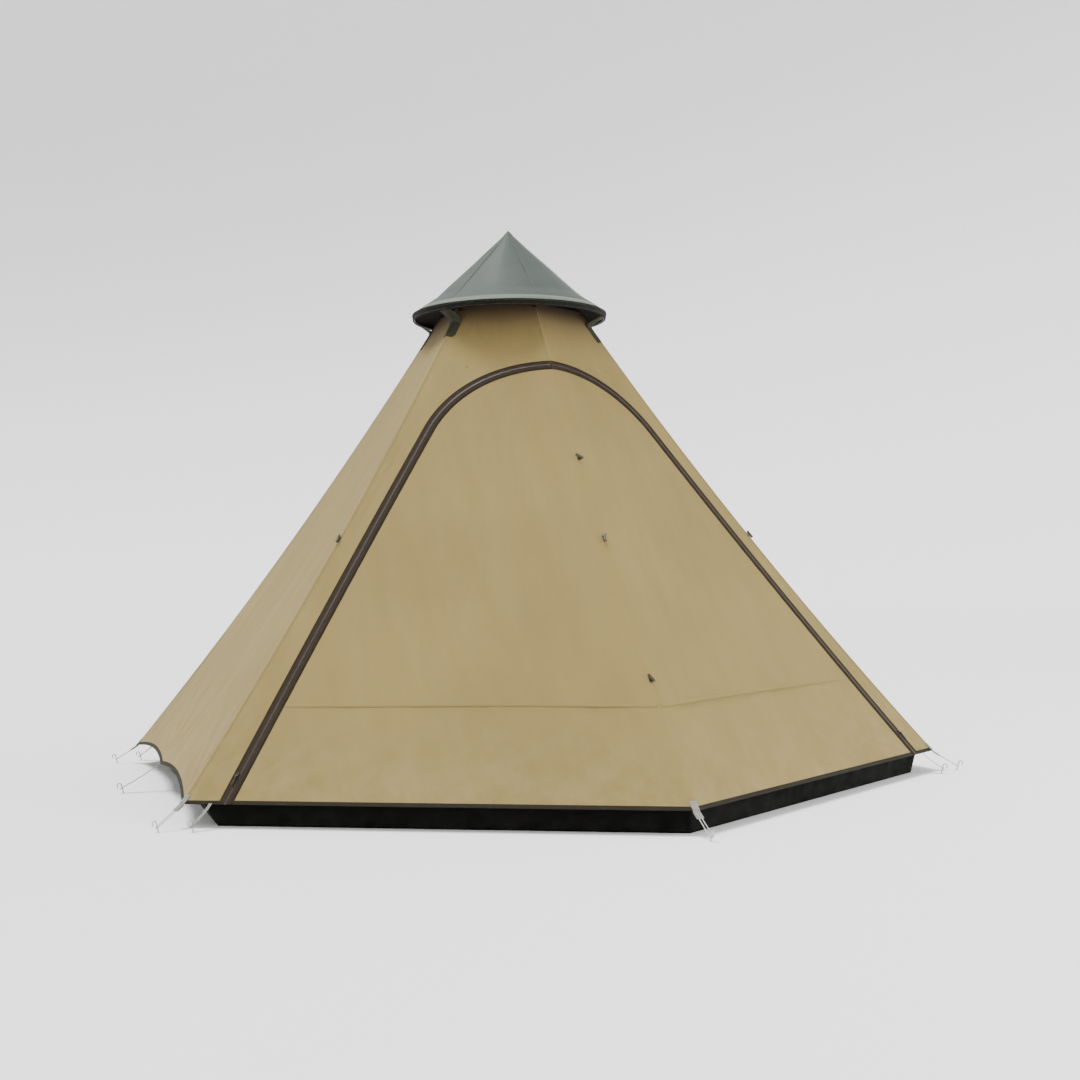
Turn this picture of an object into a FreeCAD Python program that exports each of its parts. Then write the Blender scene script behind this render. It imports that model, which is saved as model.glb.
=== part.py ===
import FreeCAD, Part
import math
import os

# Teepee tent, six sided, one centre pole. Millimetres, +Z up, ground at Z = 0.
# The origin is the middle of the floor. Ridge 1 points to -Y and carries the front door;
# the ridges and faces are named by their angle from -Y, turning towards +X.

V = FreeCAD.Vector
UP = V(0, 0, 1)
ORIGIN = V(0, 0, 0)

# Fly: six faces, each curved only up and down, mitred on the ridges.
HEM_CORNER_R = 1825.0
HEM_Z = 85.5
MID_CORNER_R = 1000.0
MID_Z = 1098.0
TOP_CORNER_R = 319.0
TOP_Z = 2050.0
FLY_T = 1.2
HALF_FACE = math.radians(30)
RIDGE_ANGLES = [0, 60, 120, 180, 240, 300]
CORNER_ANGLES = [60, 120, 240, 300]
SIDE_FACES = {"fly_side_right": 90, "fly_side_left": 270}
DOOR_FACES = {"front_right": 30, "front_left": 330, "back_left": 210, "back_right": 150}
HEM_MID_Z = 110.0
HEM_RISE_Z = 126.0
BINDING_T = 1.0
BINDING_H = 12.0
TOP_BAND_H = 30.0

# Door: an arch in the XZ plane, round at the top, with straight legs tangent to it.
ARCH_Z = 1137.0
ARCH_R = 613.0
LEG_RUN = 0.6685
DOOR_GAP = 3.0
TAPE_W = 20.0
TAPE_T = 1.4
TEETH_GAP = 1.6

# Floor tub
TUB_H = 140.0
TUB_SETBACK = 3.0
TUB_T = 1.2
TUB_SIDE_SET = 78.0
FLOOR_T = 1.6
SEAM_H = 9.0
PATCH_R = 150.0
PATCH_T = 2.0

# Centre pole: four push-fit steel sections on a rubber foot
POLE_R = 14.0
POLE_WALL = 1.2
POLE_Z = 12.0
POLE_TOP_Z = 2372.0
POLE_COUNT = 4
SPIGOT_LENGTH = 55.0
SPIGOT_CLEARANCE = 0.2
FOOT_R = 20.0
FOOT_H = 60.0
TIP_R = 16.0
TIP_H = 14.0
TIP_SHANK = 40.0

# Crown: hub on the pole, straps to the fly's top corners, mesh vent under them
HUB_Z = 2185.0
HUB_R = 36.0
HUB_H = 24.0
COLLAR_H = 8.0
MESH_T = 1.0
STRAP_W = 22.0
STRAP_T = 1.6
STRAP_LAP = 24.0
STRAP_OVER_FLY = 2.5
COLLAR_WALL = 6.0
HUB_EDGE_R = 4.0
MESH_GAP = 0.2

# Cap: a cone on the pole's tip with a hoop in its rim
CAP_APEX_Z = 2430.0
CAP_NECK = (24.0, 2402.0)
CAP_SHOULDER = (333.0, 2113.0)
CAP_FLARE = (439.0, 2040.0)
CAP_RIM = (434.0, 2016.5)
CAP_T = 2.0
HOOP_R = 430.0
HOOP_WIRE_R = 3.0
CUP_CLEARANCE = 0.6
CUP_R = 27.0
CAP_TAB_W = 70.0
CAP_TAB_T = 1.5
CAP_TAB_CLEAR = 3.0
CAP_TAB_LOW_Z = 1905.0
CAP_TAB_KNEE_Z = 1975.0
CAP_TAB_TOP = (429.0, 2018.2)

# Pegs, tabs and guy loops
PEG_WIRE_R = 2.5
PEG_LEAN = math.radians(15)
PEG_DEPTH = 150.0
PEG_HEAD = 36.0
HOOK_R = 8.0
HOOK_TIP = 9.0
PEG_POINT = 12.0
CORD_R = 1.75
LOOP_R = 5.5
LOOP_WRAP = (1930.0, 18.0)
TAB_START = (1820.0, 84.0)
TAB_LENGTH = 40.0
TAB_T = 4.0
TAB_W = 26.0
STRAP_PEG_W = 16.0
STRAP_PEG_T = 2.0
EYELET_R = 5.0
STRAP_EYE_Z = 22.0
STRAP_END = 4.0
SIDE_PEG_OUT = 150.0
FOOT_PEG_OUT = 78.0
FOOT_PEG_HEADING = 58.0
FOOT_STRAP_SET = 16.0
FOOT_STRAP_CLEAR = 4.0

# Zip sliders
SLIDER_LOW_Z = 175.0
SLIDER_HIGH_Z = 1330.0
SLIDER_W = 11.0
SLIDER_L = 22.0
SLIDER_H = 5.0
SLIDER_CLEAR = 1.0
SLIDER_AWAY = 1.0
EAR_T = 1.5
PIN_R = 1.0
PIN_CLEARANCE = 0.4
PIN_SET = 4.0
EYE_WALL = 1.2
EYE_GAP = 0.4
PULL_W = 7.0
PULL_L = 34.0
PULL_T = 1.6

# Toggles on the ridges: height and tilt of each one, in degrees from the ridge's line
RIDGE_TOGGLES = [(1025.0, 10.0)]
DOOR_TOGGLES = [(1340.0, 52.0), (1010.0, -20.0), (500.0, 25.0)]
TOGGLE_R = 5.5
TOGGLE_L = 36.0

REACH = 3000.0


def circle_through(a, b, c):
    """Centre and radius of the circle through three (n, z) points."""
    arc = Part.Arc(V(a[0], 0, a[1]), V(b[0], 0, b[1]), V(c[0], 0, c[1])).toShape().Curve
    return arc.Center.x, arc.Center.z, arc.Radius


COS_HALF = math.cos(HALF_FACE)
CURVE_N, CURVE_Z, CURVE_R = circle_through(
    (TOP_CORNER_R * COS_HALF, TOP_Z),
    (MID_CORNER_R * COS_HALF, MID_Z),
    (HEM_CORNER_R * COS_HALF, HEM_Z),
)


def face_n(z, depth=0.0):
    """Distance from the tent's axis to a face at height z, depth inside the outer side."""
    return CURVE_N - math.sqrt((CURVE_R + depth) ** 2 - (z - CURVE_Z) ** 2)


def ridge_r(z, depth=0.0):
    """Distance from the tent's axis to a ridge at height z."""
    return face_n(z, depth) / COS_HALF


def turned(shape, angle):
    """A shape built towards +X, turned to the given angle from -Y towards +X."""
    copy = shape.copy()
    copy.rotate(ORIGIN, UP, angle - 90)
    return copy


def on_ridge(r, z, angle, side=0.0):
    """Point at radius r and height z on a ridge's vertical plane, moved sideways."""
    t = math.radians(angle)
    return V(r * math.sin(t) + side * math.cos(t), -r * math.cos(t) + side * math.sin(t), z)


def in_sixths(shape):
    """A shape all round the axis, cut on the ridges into its six sewn panels."""
    return group([shape.common(turned(WEDGE, angle + 30)) for angle in RIDGE_ANGLES])


def join(shapes):
    """One shape from several: fused where they touch."""
    whole = shapes[0]
    if len(shapes) > 1:
        whole = whole.fuse(shapes[1:])
        whole = whole.removeSplitter()
    return whole


def group(shapes):
    return Part.makeCompound(shapes)


def solid_only(shape):
    """The solids of a shape, as one solid or a group of separate solids."""
    solids = shape.Solids
    return solids[0] if len(solids) == 1 else Part.makeCompound(solids)


def prism(points, direction):
    """Closed outline of straight sides, extruded."""
    outline = Part.makePolygon(points + [points[0]])
    return Part.Face(outline).extrude(direction)


def revolved(points):
    """Closed (r, z) outline turned about the tent's axis."""
    outline = [V(r, 0, z) for r, z in points]
    return Part.Face(Part.makePolygon(outline + [outline[0]])).revolve(ORIGIN, UP, 360)


def wedge():
    """The sixth of space that belongs to a face built towards +X."""
    half = REACH * math.tan(HALF_FACE)
    return prism([V(0, 0, -10), V(REACH, -half, -10), V(REACH, half, -10)], V(0, 0, REACH))


WEDGE = wedge()


def curved_slab(outer, inner, low, high):
    """Slab that follows the face's curve from depth outer to depth inner, towards +X."""
    middle = (low + high) / 2
    out_arc = [V(face_n(z, outer), 0, z) for z in (low, middle, high)]
    in_arc = [V(face_n(z, inner), 0, z) for z in (high, middle, low)]
    edges = [
        Part.Arc(*out_arc).toShape(),
        Part.makeLine(out_arc[2], in_arc[0]),
        Part.Arc(*in_arc).toShape(),
        Part.makeLine(in_arc[2], out_arc[0]),
    ]
    half = REACH * math.tan(HALF_FACE)
    strip = Part.Face(Part.Wire(edges))
    strip.translate(V(0, -half, 0))
    return strip.extrude(V(0, 2 * half, 0)).common(WEDGE)


def face_slab(angle, outer, inner, low=HEM_Z, high=TOP_Z):
    return turned(curved_slab(outer, inner, low, high), angle)


def arch(offset, back=False):
    """Everything in front of the tent's axis inside the arch, grown by offset."""
    norm = math.hypot(1, LEG_RUN)
    side = V(1 / norm, 0, LEG_RUN / norm)
    radius = ARCH_R + offset
    tangent_x = radius * side.x
    tangent_z = ARCH_Z + radius * side.z
    low = -50.0
    foot_x = tangent_x + (tangent_z - low) * LEG_RUN
    edges = [
        Part.makeLine(V(-foot_x, 0, low), V(foot_x, 0, low)),
        Part.makeLine(V(foot_x, 0, low), V(tangent_x, 0, tangent_z)),
        Part.Arc(V(tangent_x, 0, tangent_z), V(0, 0, ARCH_Z + radius), V(-tangent_x, 0, tangent_z)).toShape(),
        Part.makeLine(V(-tangent_x, 0, tangent_z), V(-foot_x, 0, low)),
    ]
    body = Part.Face(Part.Wire(edges)).extrude(V(0, -REACH, 0))
    if back:
        body.rotate(ORIGIN, UP, 180)
    return body


ARCHES = {
    (end, name): arch(offset, end == "back")
    for end in ("front", "back")
    for name, offset in (("wall", DOOR_GAP), ("door", -DOOR_GAP), ("tape_out", TAPE_W), ("tape_in", -TAPE_W))
}
TEETH = {
    (end, side): arch(side * TEETH_GAP, end == "back") for end in ("front", "back") for side in (1, -1)
}


def scallop(extra=0.0):
    """Block below a side face's hem line: two shallow arcs hung between corners and mid tab."""
    half = HEM_CORNER_R / 2
    low = HEM_Z - 20
    ends = [V(REACH, -half, HEM_Z + extra), V(REACH, 0, HEM_MID_Z + extra), V(REACH, half, HEM_Z + extra)]
    tops = [V(REACH, s * half / 2, HEM_RISE_Z + extra) for s in (-1, 1)]
    edges = [
        Part.makeLine(V(REACH, -half, low), ends[0]),
        Part.Arc(ends[0], tops[0], ends[1]).toShape(),
        Part.Arc(ends[1], tops[1], ends[2]).toShape(),
        Part.makeLine(ends[2], V(REACH, half, low)),
        Part.makeLine(V(REACH, half, low), V(REACH, -half, low)),
    ]
    return Part.Face(Part.Wire(edges)).extrude(V(-REACH, 0, 0))


def fly_panels():
    parts = {}
    for name, angle in SIDE_FACES.items():
        parts[name] = face_slab(angle, 0, FLY_T).cut(turned(scallop(), angle))
    for name, angle in DOOR_FACES.items():
        end = name.split("_")[0]
        panel = face_slab(angle, 0, FLY_T)
        parts["fly_" + name] = panel.cut(ARCHES[end, "wall"])
        side = name.split("_")[1]
        parts[end + "_door_" + side] = panel.common(ARCHES[end, "door"])
    return parts


def hem_bindings():
    """Thin dark binding along the lower edge, on the fly and on each door."""
    fly = []
    doors = {"front": [], "back": []}
    for angle in SIDE_FACES.values():
        strip = face_slab(angle, -BINDING_T, 0, HEM_Z, HEM_RISE_Z + 3 * BINDING_H)
        strip = strip.common(turned(scallop(BINDING_H), angle))
        fly.append(strip.cut(turned(scallop(), angle)))
    for name, angle in DOOR_FACES.items():
        end = name.split("_")[0]
        strip = face_slab(angle, -BINDING_T, 0, HEM_Z, HEM_Z + BINDING_H)
        fly.append(strip.cut(ARCHES[end, "tape_out"]))
        doors[end].append(strip.common(ARCHES[end, "tape_in"]))
    return {
        "fly_hem_binding": solid_only(group(fly)),
        "front_door_hem_binding": solid_only(group(doors["front"])),
        "back_door_hem_binding": solid_only(group(doors["back"])),
    }


def zip_tapes():
    """Zip tape halves, with their teeth, on the outside of the fly and of the doors."""
    parts = {}
    for end in ("front", "back"):
        fixed = []
        moving = []
        for name, angle in DOOR_FACES.items():
            if name.startswith(end):
                band = face_slab(angle, -TAPE_T, 0)
                fixed.append(band.common(ARCHES[end, "tape_out"]).cut(TEETH[end, 1]))
                moving.append(band.common(TEETH[end, -1]).cut(ARCHES[end, "tape_in"]))
        parts[end + "_zip_tape"] = join(fixed)
        parts[end + "_door_zip_tape"] = join(moving)
    return parts


def top_band():
    bands = [face_slab(a + 30, FLY_T, 2 * FLY_T, TOP_Z - TOP_BAND_H, TOP_Z) for a in RIDGE_ANGLES]
    return {"fly_top_band": join(bands)}


def hexagon(r, z, height):
    points = [on_ridge(r, z, angle) for angle in RIDGE_ANGLES]
    return prism(points, V(0, 0, height))


def tub_corners(n, side_set, z):
    """Corners of the tub's plan, its walls n from the axis and the two side walls side_set less."""
    side_x = n - side_set
    side_y = (n + side_set) / (2 * COS_HALF)
    front_y = n / COS_HALF
    right = [(0, -front_y), (side_x, -side_y), (side_x, side_y)]
    return [V(x, y, z) for x, y in right + [(-x, -y) for x, y in right]]


def slab_between(low, high):
    """Flat-sided solid between a low and a high four-cornered outline."""
    rings = [list(reversed(low)), high]
    for i in range(4):
        j = (i + 1) % 4
        rings.append([low[i], low[j], high[j], high[i]])
    faces = [Part.Face(Part.makePolygon(ring + [ring[0]])) for ring in rings]
    return Part.Solid(Part.Shell(faces))


def tub_walls(n):
    """Six walls, mitred at the corners; the side walls lean in towards the ground."""
    rings = {}
    for level, side_set, z in (("low", TUB_SIDE_SET, FLOOR_T), ("high", 0, TUB_H)):
        for skin, depth in (("out", 0), ("in", TUB_T)):
            rings[level, skin] = tub_corners(n - depth, side_set, z)
    walls = []
    for i in range(6):
        j = (i + 1) % 6
        quads = []
        for level in ("low", "high"):
            outer, inner = rings[level, "out"], rings[level, "in"]
            quads.append([outer[i], outer[j], inner[j], inner[i]])
        walls.append(slab_between(*quads))
    return group(walls)


def tub():
    outer = ridge_r(TUB_H, FLY_T) - TUB_SETBACK
    floor = prism(tub_corners(outer * COS_HALF, TUB_SIDE_SET, 0), V(0, 0, FLOOR_T))
    wall = tub_walls(outer * COS_HALF)
    seam = []
    low = TUB_H - SEAM_H
    for angle in RIDGE_ANGLES:
        block = hexagon(HEM_CORNER_R, low, SEAM_H).cut(hexagon(outer, low, SEAM_H))
        inside = turned(curved_slab(FLY_T, 60, low, TUB_H), angle + 30)
        seam.append(block.common(inside))
    seam = join(seam)
    seam = seam.cut(ARCHES["front", "wall"]).cut(ARCHES["back", "wall"])
    patch = Part.makeCylinder(PATCH_R, PATCH_T, V(0, 0, FLOOR_T))
    return {"tub_floor": floor, "tub_wall": wall, "tub_seam_tape": solid_only(seam), "floor_patch": patch}


def pole():
    parts = {}
    step = (POLE_TOP_Z - POLE_Z) / POLE_COUNT
    bore = POLE_R - POLE_WALL
    for i in range(POLE_COUNT):
        low = POLE_Z + i * step
        tube = Part.makeCylinder(POLE_R, step, V(0, 0, low))
        tube = tube.cut(Part.makeCylinder(bore, step, V(0, 0, low)))
        if i < POLE_COUNT - 1:
            plug_r = bore - SPIGOT_CLEARANCE
            start = low + step - SPIGOT_LENGTH
            plug = Part.makeCylinder(bore, SPIGOT_LENGTH, V(0, 0, start))
            plug = plug.fuse(Part.makeCylinder(plug_r, 2 * SPIGOT_LENGTH, V(0, 0, start)))
            plug = plug.cut(Part.makeCylinder(plug_r - POLE_WALL, 2 * SPIGOT_LENGTH, V(0, 0, start)))
            tube = join([tube, plug])
        else:
            collar = Part.makeCylinder(POLE_R + COLLAR_WALL, COLLAR_H, V(0, 0, HUB_Z - COLLAR_H))
            collar = collar.cut(Part.makeCylinder(bore, COLLAR_H, V(0, 0, HUB_Z - COLLAR_H)))
            tube = join([tube, collar])
        parts["pole_section_" + str(i + 1)] = tube
    base_z = FLOOR_T + PATCH_T
    foot = Part.makeCylinder(FOOT_R, FOOT_H, V(0, 0, base_z))
    foot = foot.cut(Part.makeCylinder(POLE_R, FOOT_H, V(0, 0, POLE_Z)))
    parts["pole_foot"] = foot
    shank = Part.makeCylinder(bore - SPIGOT_CLEARANCE, TIP_SHANK, V(0, 0, POLE_TOP_Z - TIP_SHANK))
    head = Part.makeCylinder(TIP_R, TIP_H, V(0, 0, POLE_TOP_Z))
    head = head.makeFillet(TIP_H / 2, [e for e in head.Edges if e.BoundBox.ZMin > POLE_TOP_Z + TIP_H - 1])
    parts["pole_tip"] = join([shank, head])
    return parts


def crown():
    hub = Part.makeCylinder(HUB_R, HUB_H, V(0, 0, HUB_Z))
    hub = hub.makeFillet(HUB_EDGE_R, [e for e in hub.Edges if e.BoundBox.ZLength < 1])
    hub = hub.cut(Part.makeCylinder(POLE_R + SPIGOT_CLEARANCE, HUB_H, V(0, 0, HUB_Z)))
    strap_r = HUB_R + MESH_GAP
    top_z = HUB_Z + 0.75 * HUB_H
    knee = (TOP_CORNER_R + 1.0, TOP_Z + STRAP_OVER_FLY)
    end_z = TOP_Z - STRAP_LAP
    end_r = ridge_r(end_z) + 0.4
    profile = [
        (strap_r, top_z),
        knee,
        (end_r, end_z),
        (end_r + STRAP_T, end_z),
        (knee[0] + STRAP_T, knee[1] + 0.6),
        (strap_r, top_z + 1.3 * STRAP_T),
    ]
    outline = [V(r, -STRAP_W / 2, z) for r, z in profile]
    strap = prism(outline, V(0, STRAP_W, 0))
    straps = [turned(strap, a) for a in RIDGE_ANGLES]
    low = [on_ridge(TOP_CORNER_R - STRAP_OVER_FLY, TOP_Z, a) for a in RIDGE_ANGLES]
    high = [on_ridge(HUB_R + 2, HUB_Z + 3, a) for a in RIDGE_ANGLES]
    outer = hex_frustum(low, high)
    inner = outer.copy()
    inner.translate(V(0, 0, -MESH_T * 1.2))
    mesh = outer.cut(inner).cut(Part.makeCylinder(HUB_R + MESH_GAP, REACH, V(0, 0, TOP_Z)))
    below_fly_top = Part.makeBox(REACH, REACH, REACH, V(-REACH / 2, -REACH / 2, TOP_Z - REACH))
    mesh = mesh.cut(below_fly_top)
    return {"crown_hub": hub, "crown_straps": group(straps), "vent_mesh": in_sixths(mesh)}


def hex_frustum(low, high):
    wires = [Part.makePolygon(points + [points[0]]) for points in (low, high)]
    return Part.makeLoft(wires, True, True)


def cap():
    run = CAP_SHOULDER[0] - CAP_NECK[0]
    fall = CAP_NECK[1] - CAP_SHOULDER[1]
    drop = CAP_T * math.hypot(run, fall) / run
    inner = [
        (0, CAP_APEX_Z - 1.6 * drop),
        (CAP_NECK[0] - CAP_T, CAP_NECK[1] - drop),
        (CAP_SHOULDER[0], CAP_SHOULDER[1] - drop),
        (CAP_FLARE[0] - CAP_T, CAP_FLARE[1] - 1.0),
        (CAP_RIM[0] - CAP_T, CAP_RIM[1]),
    ]
    outer = [CAP_RIM, CAP_FLARE, CAP_SHOULDER, CAP_NECK, (0, CAP_APEX_Z)]
    shell = in_sixths(turned(revolved(inner + outer), RIDGE_ANGLES[1]))
    band = revolved([
        (CAP_FLARE[0], CAP_FLARE[1] - 0.5),
        (CAP_FLARE[0] + 1.2, CAP_FLARE[1] - 0.5),
        (CAP_RIM[0] + 1.2, CAP_RIM[1]),
        CAP_RIM,
    ])
    hoop = Part.makeTorus(HOOP_R, HOOP_WIRE_R, V(0, 0, CAP_RIM[1] + HOOP_WIRE_R + 2))
    cup_low = POLE_TOP_Z + CUP_CLEARANCE
    cup_edge = inner[1][1] - (CUP_R - inner[1][0]) * fall / run
    cup = revolved([(0, cup_low), (CUP_R, cup_low), (CUP_R, cup_edge), inner[1], inner[0]])
    socket_r = TIP_R + CUP_CLEARANCE
    socket = Part.makeCylinder(socket_r, TIP_H, V(0, 0, cup_low))
    rounded = [e for e in socket.Edges if e.BoundBox.ZMin > cup_low + TIP_H - 1]
    cup = cup.cut(socket.makeFillet(TIP_H / 2, rounded))
    low = (ridge_r(CAP_TAB_LOW_Z) + CAP_TAB_CLEAR, CAP_TAB_LOW_Z)
    knee = (ridge_r(CAP_TAB_KNEE_Z) + CAP_TAB_CLEAR, CAP_TAB_KNEE_Z)
    inner_side = [low, knee, CAP_TAB_TOP]
    outer_side = [(r + CAP_TAB_T, z) for r, z in reversed(inner_side)]
    profile = [V(r, -CAP_TAB_W / 2, z) for r, z in inner_side + outer_side]
    tab = prism(profile, V(0, CAP_TAB_W, 0))
    tabs = [turned(tab, a) for a in CORNER_ANGLES]
    return {
        "cap_shell": shell,
        "cap_hem_band": band,
        "cap_hoop": hoop,
        "cap_tip_cup": cup,
        "cap_tabs": group(tabs),
    }


def swept(edges, start, direction, radius):
    """Round wire or cord along a path of lines and tangent arcs."""
    circle = Part.Wire(Part.makeCircle(radius, start, direction))
    return Part.Wire(edges).makePipeShell([circle], True, True)


def peg(base, angle):
    """Driven peg: passes the point base, leans away from the tent, hook opening outwards."""
    t = math.radians(angle)
    out = V(math.sin(t), -math.cos(t), 0)
    along = (out * math.sin(PEG_LEAN) + UP * math.cos(PEG_LEAN)).normalize()
    side = (out * math.cos(PEG_LEAN) - UP * math.sin(PEG_LEAN)).normalize()
    foot = base - along * PEG_DEPTH
    neck = base + along * PEG_HEAD
    centre = neck + side * HOOK_R
    crest = centre + along * HOOK_R
    turn = neck + side * 2 * HOOK_R
    tip = turn - along * HOOK_TIP
    edges = [
        Part.makeLine(foot, neck),
        Part.Arc(neck, crest, turn).toShape(),
        Part.makeLine(turn, tip),
    ]
    rod = swept(edges, foot, along, PEG_WIRE_R)
    point = Part.makeCone(0.4, PEG_WIRE_R, PEG_POINT, foot - along * PEG_POINT, along)
    return rod.fuse(point).removeSplitter()


def shaft_point(base, angle, height):
    """Where a peg's shaft is at a height above the ground."""
    t = math.radians(angle)
    out = V(math.sin(t), -math.cos(t), 0)
    return base + (out * math.tan(PEG_LEAN) + UP) * (height - base.z)


def corner_base(angle):
    """Ground point of a corner peg, so that its shaft passes the loop's wrap point."""
    wrap_r, wrap_z = LOOP_WRAP
    return on_ridge(wrap_r - wrap_z * math.tan(PEG_LEAN), 0, angle)


def tab_line():
    """Unit direction in (r, z) from the corner tab to the peg."""
    run = LOOP_WRAP[0] - TAB_START[0]
    fall = LOOP_WRAP[1] - TAB_START[1]
    length = math.hypot(run, fall)
    return run / length, fall / length


def corner_tab(angle):
    """Folded webbing sewn over the ridge's end, pointing at the peg."""
    dr, dz = tab_line()
    end_r = TAB_START[0] + dr * TAB_LENGTH
    end_z = TAB_START[1] + dz * TAB_LENGTH
    lap_z = HEM_Z + 30
    profile = [
        (ridge_r(lap_z) + 1.4, lap_z),
        (ridge_r(HEM_Z) + 1.4, HEM_Z),
        (end_r + dz * TAB_T / 2, end_z - dr * TAB_T / 2),
        (end_r - dz * TAB_T / 2, end_z + dr * TAB_T / 2),
        (ridge_r(HEM_Z) + 4.6, HEM_Z + 2),
        (ridge_r(lap_z) + 3.4, lap_z),
    ]
    outline = [V(r, -TAB_W / 2, z) for r, z in profile]
    return turned(prism(outline, V(0, TAB_W, 0)), angle)


def corner_loop(angle):
    """Guy loop: out from the tab on one side of the peg, round it, and back on the other."""
    dr, dz = tab_line()
    start_r = TAB_START[0] + dr * TAB_LENGTH
    start_z = TAB_START[1] + dz * TAB_LENGTH
    wrap_r, wrap_z = LOOP_WRAP
    a = on_ridge(start_r, start_z, angle, -LOOP_R)
    b = on_ridge(wrap_r, wrap_z, angle, -LOOP_R)
    c = on_ridge(wrap_r + dr * LOOP_R, wrap_z + dz * LOOP_R, angle, 0)
    d = on_ridge(wrap_r, wrap_z, angle, LOOP_R)
    e = on_ridge(start_r, start_z, angle, LOOP_R)
    edges = [Part.makeLine(a, b), Part.Arc(b, c, d).toShape(), Part.makeLine(d, e)]
    return swept(edges, a, b - a, CORD_R)


def peg_strap(start, base, width_dir, angle):
    """Flat webbing from the hem to an eyelet round a peg's shaft."""
    eye = shaft_point(base, angle, STRAP_EYE_Z)
    along = (eye - start).normalize()
    across = width_dir.normalize()
    normal = along.cross(across).normalize()
    end = eye + along * (EYELET_R + STRAP_END)
    half = across * (STRAP_PEG_W / 2)
    lift = normal * (STRAP_PEG_T / 2)
    corners = [start - half - lift, start + half - lift, end + half - lift, end - half - lift]
    strap = prism(corners, normal * STRAP_PEG_T)
    hole = Part.makeCylinder(EYELET_R, 4 * STRAP_PEG_T, eye - normal * 2 * STRAP_PEG_T, normal)
    return strap.cut(hole)


def anchors():
    """Pegs, corner tabs, guy loops and the webbing straps at the side hems and zip feet."""
    corner_pegs = [peg(corner_base(a), a) for a in RIDGE_ANGLES]
    side_straps = []
    side_pegs = []
    for angle in SIDE_FACES.values():
        base = on_ridge(face_n(HEM_MID_Z) + SIDE_PEG_OUT, 0, angle)
        start = on_ridge(face_n(HEM_MID_Z) + 2.2, HEM_MID_Z + 3, angle)
        side_straps.append(peg_strap(start, base, on_ridge(0, 0, angle, 1.0), angle))
        side_pegs.append(peg(base, angle))
    foot_straps = []
    foot_pegs = []
    foot_x = (ARCH_R + TAPE_W + FOOT_STRAP_SET) * math.hypot(1, LEG_RUN) + (ARCH_Z - HEM_Z) * LEG_RUN
    for sx in (1, -1):
        for sy in (-1, 1):
            foot_y = (face_n(HEM_Z) - foot_x * 0.5) / COS_HALF
            heading = FOOT_PEG_HEADING if sy < 0 else 180 - FOOT_PEG_HEADING
            heading = heading if sx > 0 else 360 - heading
            t = math.radians(heading)
            out = V(math.sin(t), -math.cos(t), 0)
            start = V(sx * foot_x, sy * foot_y, HEM_Z + 3) + out * FOOT_STRAP_CLEAR
            base = V(start.x, start.y, 0) + out * FOOT_PEG_OUT
            across = V(math.cos(t), math.sin(t), 0)
            foot_straps.append(peg_strap(start, base, across, heading))
            foot_pegs.append(peg(base, heading))
    parts = {
        "tent_pegs": group(corner_pegs + side_pegs + foot_pegs),
        "side_hem_straps": group(side_straps),
        "zip_foot_straps": group(foot_straps),
        "corner_tabs": group([corner_tab(a) for a in CORNER_ANGLES]),
        "front_door_tab": corner_tab(0),
        "back_door_tab": corner_tab(180),
        "front_door_guy_loop": corner_loop(0),
        "back_door_guy_loop": corner_loop(180),
    }
    for name, angle in (("right_front", 60), ("right_back", 120), ("left_back", 240), ("left_front", 300)):
        parts["guy_loop_" + name] = corner_loop(angle)
    return parts


def toggle(angle, z, tilt):
    """Barrel toggle on a sewn webbing foot, standing on a ridge."""
    r = ridge_r(z)
    slope = math.atan2(ridge_r(z - 5) - ridge_r(z + 5), 10.0)
    foot = Part.makeBox(2.0, 14, 24, V(0.3, -7, -12))
    neck = Part.makeCylinder(3.0, TOGGLE_R, V(2.0, 0, 0), V(1, 0, 0))
    barrel = Part.makeCylinder(TOGGLE_R, TOGGLE_L, V(3.0 + TOGGLE_R, 0, -TOGGLE_L / 2))
    barrel = barrel.makeFillet(2.5, [e for e in barrel.Edges if e.BoundBox.ZLength < 1])
    barrel.rotate(ORIGIN, V(1, 0, 0), tilt)
    whole = join([foot, neck, barrel])
    whole.rotate(ORIGIN, V(0, 1, 0), -math.degrees(slope))
    whole.translate(V(r, 0, z))
    return turned(whole, angle)


def toggles():
    sides = [toggle(a, z, tilt) for a in (60, 300) for z, tilt in RIDGE_TOGGLES]
    return {
        "ridge_toggles": group(sides),
        "front_door_toggles": group([toggle(0, z, tilt) for z, tilt in DOOR_TOGGLES]),
        "back_door_toggles": group([toggle(180, z, tilt) for z, tilt in DOOR_TOGGLES]),
    }


def leg_point(z):
    """Point on the outer side of the front right face, on the door's straight leg."""
    x = (ARCH_R + TEETH_GAP) * math.hypot(1, LEG_RUN) + (ARCH_Z - z) * LEG_RUN
    return V(x, -(face_n(z) - x * math.sin(HALF_FACE)) / COS_HALF, z)


def slider_frame():
    """Slider's place and axes: up the leg, away from the door, and out of the face."""
    low = leg_point(SLIDER_LOW_Z)
    up_leg = (leg_point(SLIDER_HIGH_Z) - low).normalize()
    slope = math.atan2(face_n(SLIDER_LOW_Z - 5) - face_n(SLIDER_LOW_Z + 5), 10.0)
    out = V(math.sin(HALF_FACE), -math.cos(HALF_FACE), 0)
    normal = out * math.cos(slope) + UP * math.sin(slope)
    normal = (normal - up_leg * normal.dot(up_leg)).normalize()
    away = up_leg.cross(normal).normalize()
    return low, away, up_leg, normal


def placed(shape, low, away, up_leg, normal):
    """Shape built with X away from the door, Y up the leg and Z out of the face."""
    matrix = FreeCAD.Matrix(
        away.x, up_leg.x, normal.x, low.x,
        away.y, up_leg.y, normal.y, low.y,
        away.z, up_leg.z, normal.z, low.z,
        0, 0, 0, 1,
    )
    copy = shape.copy()
    copy.Placement = FreeCAD.Placement(matrix)
    return copy


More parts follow.
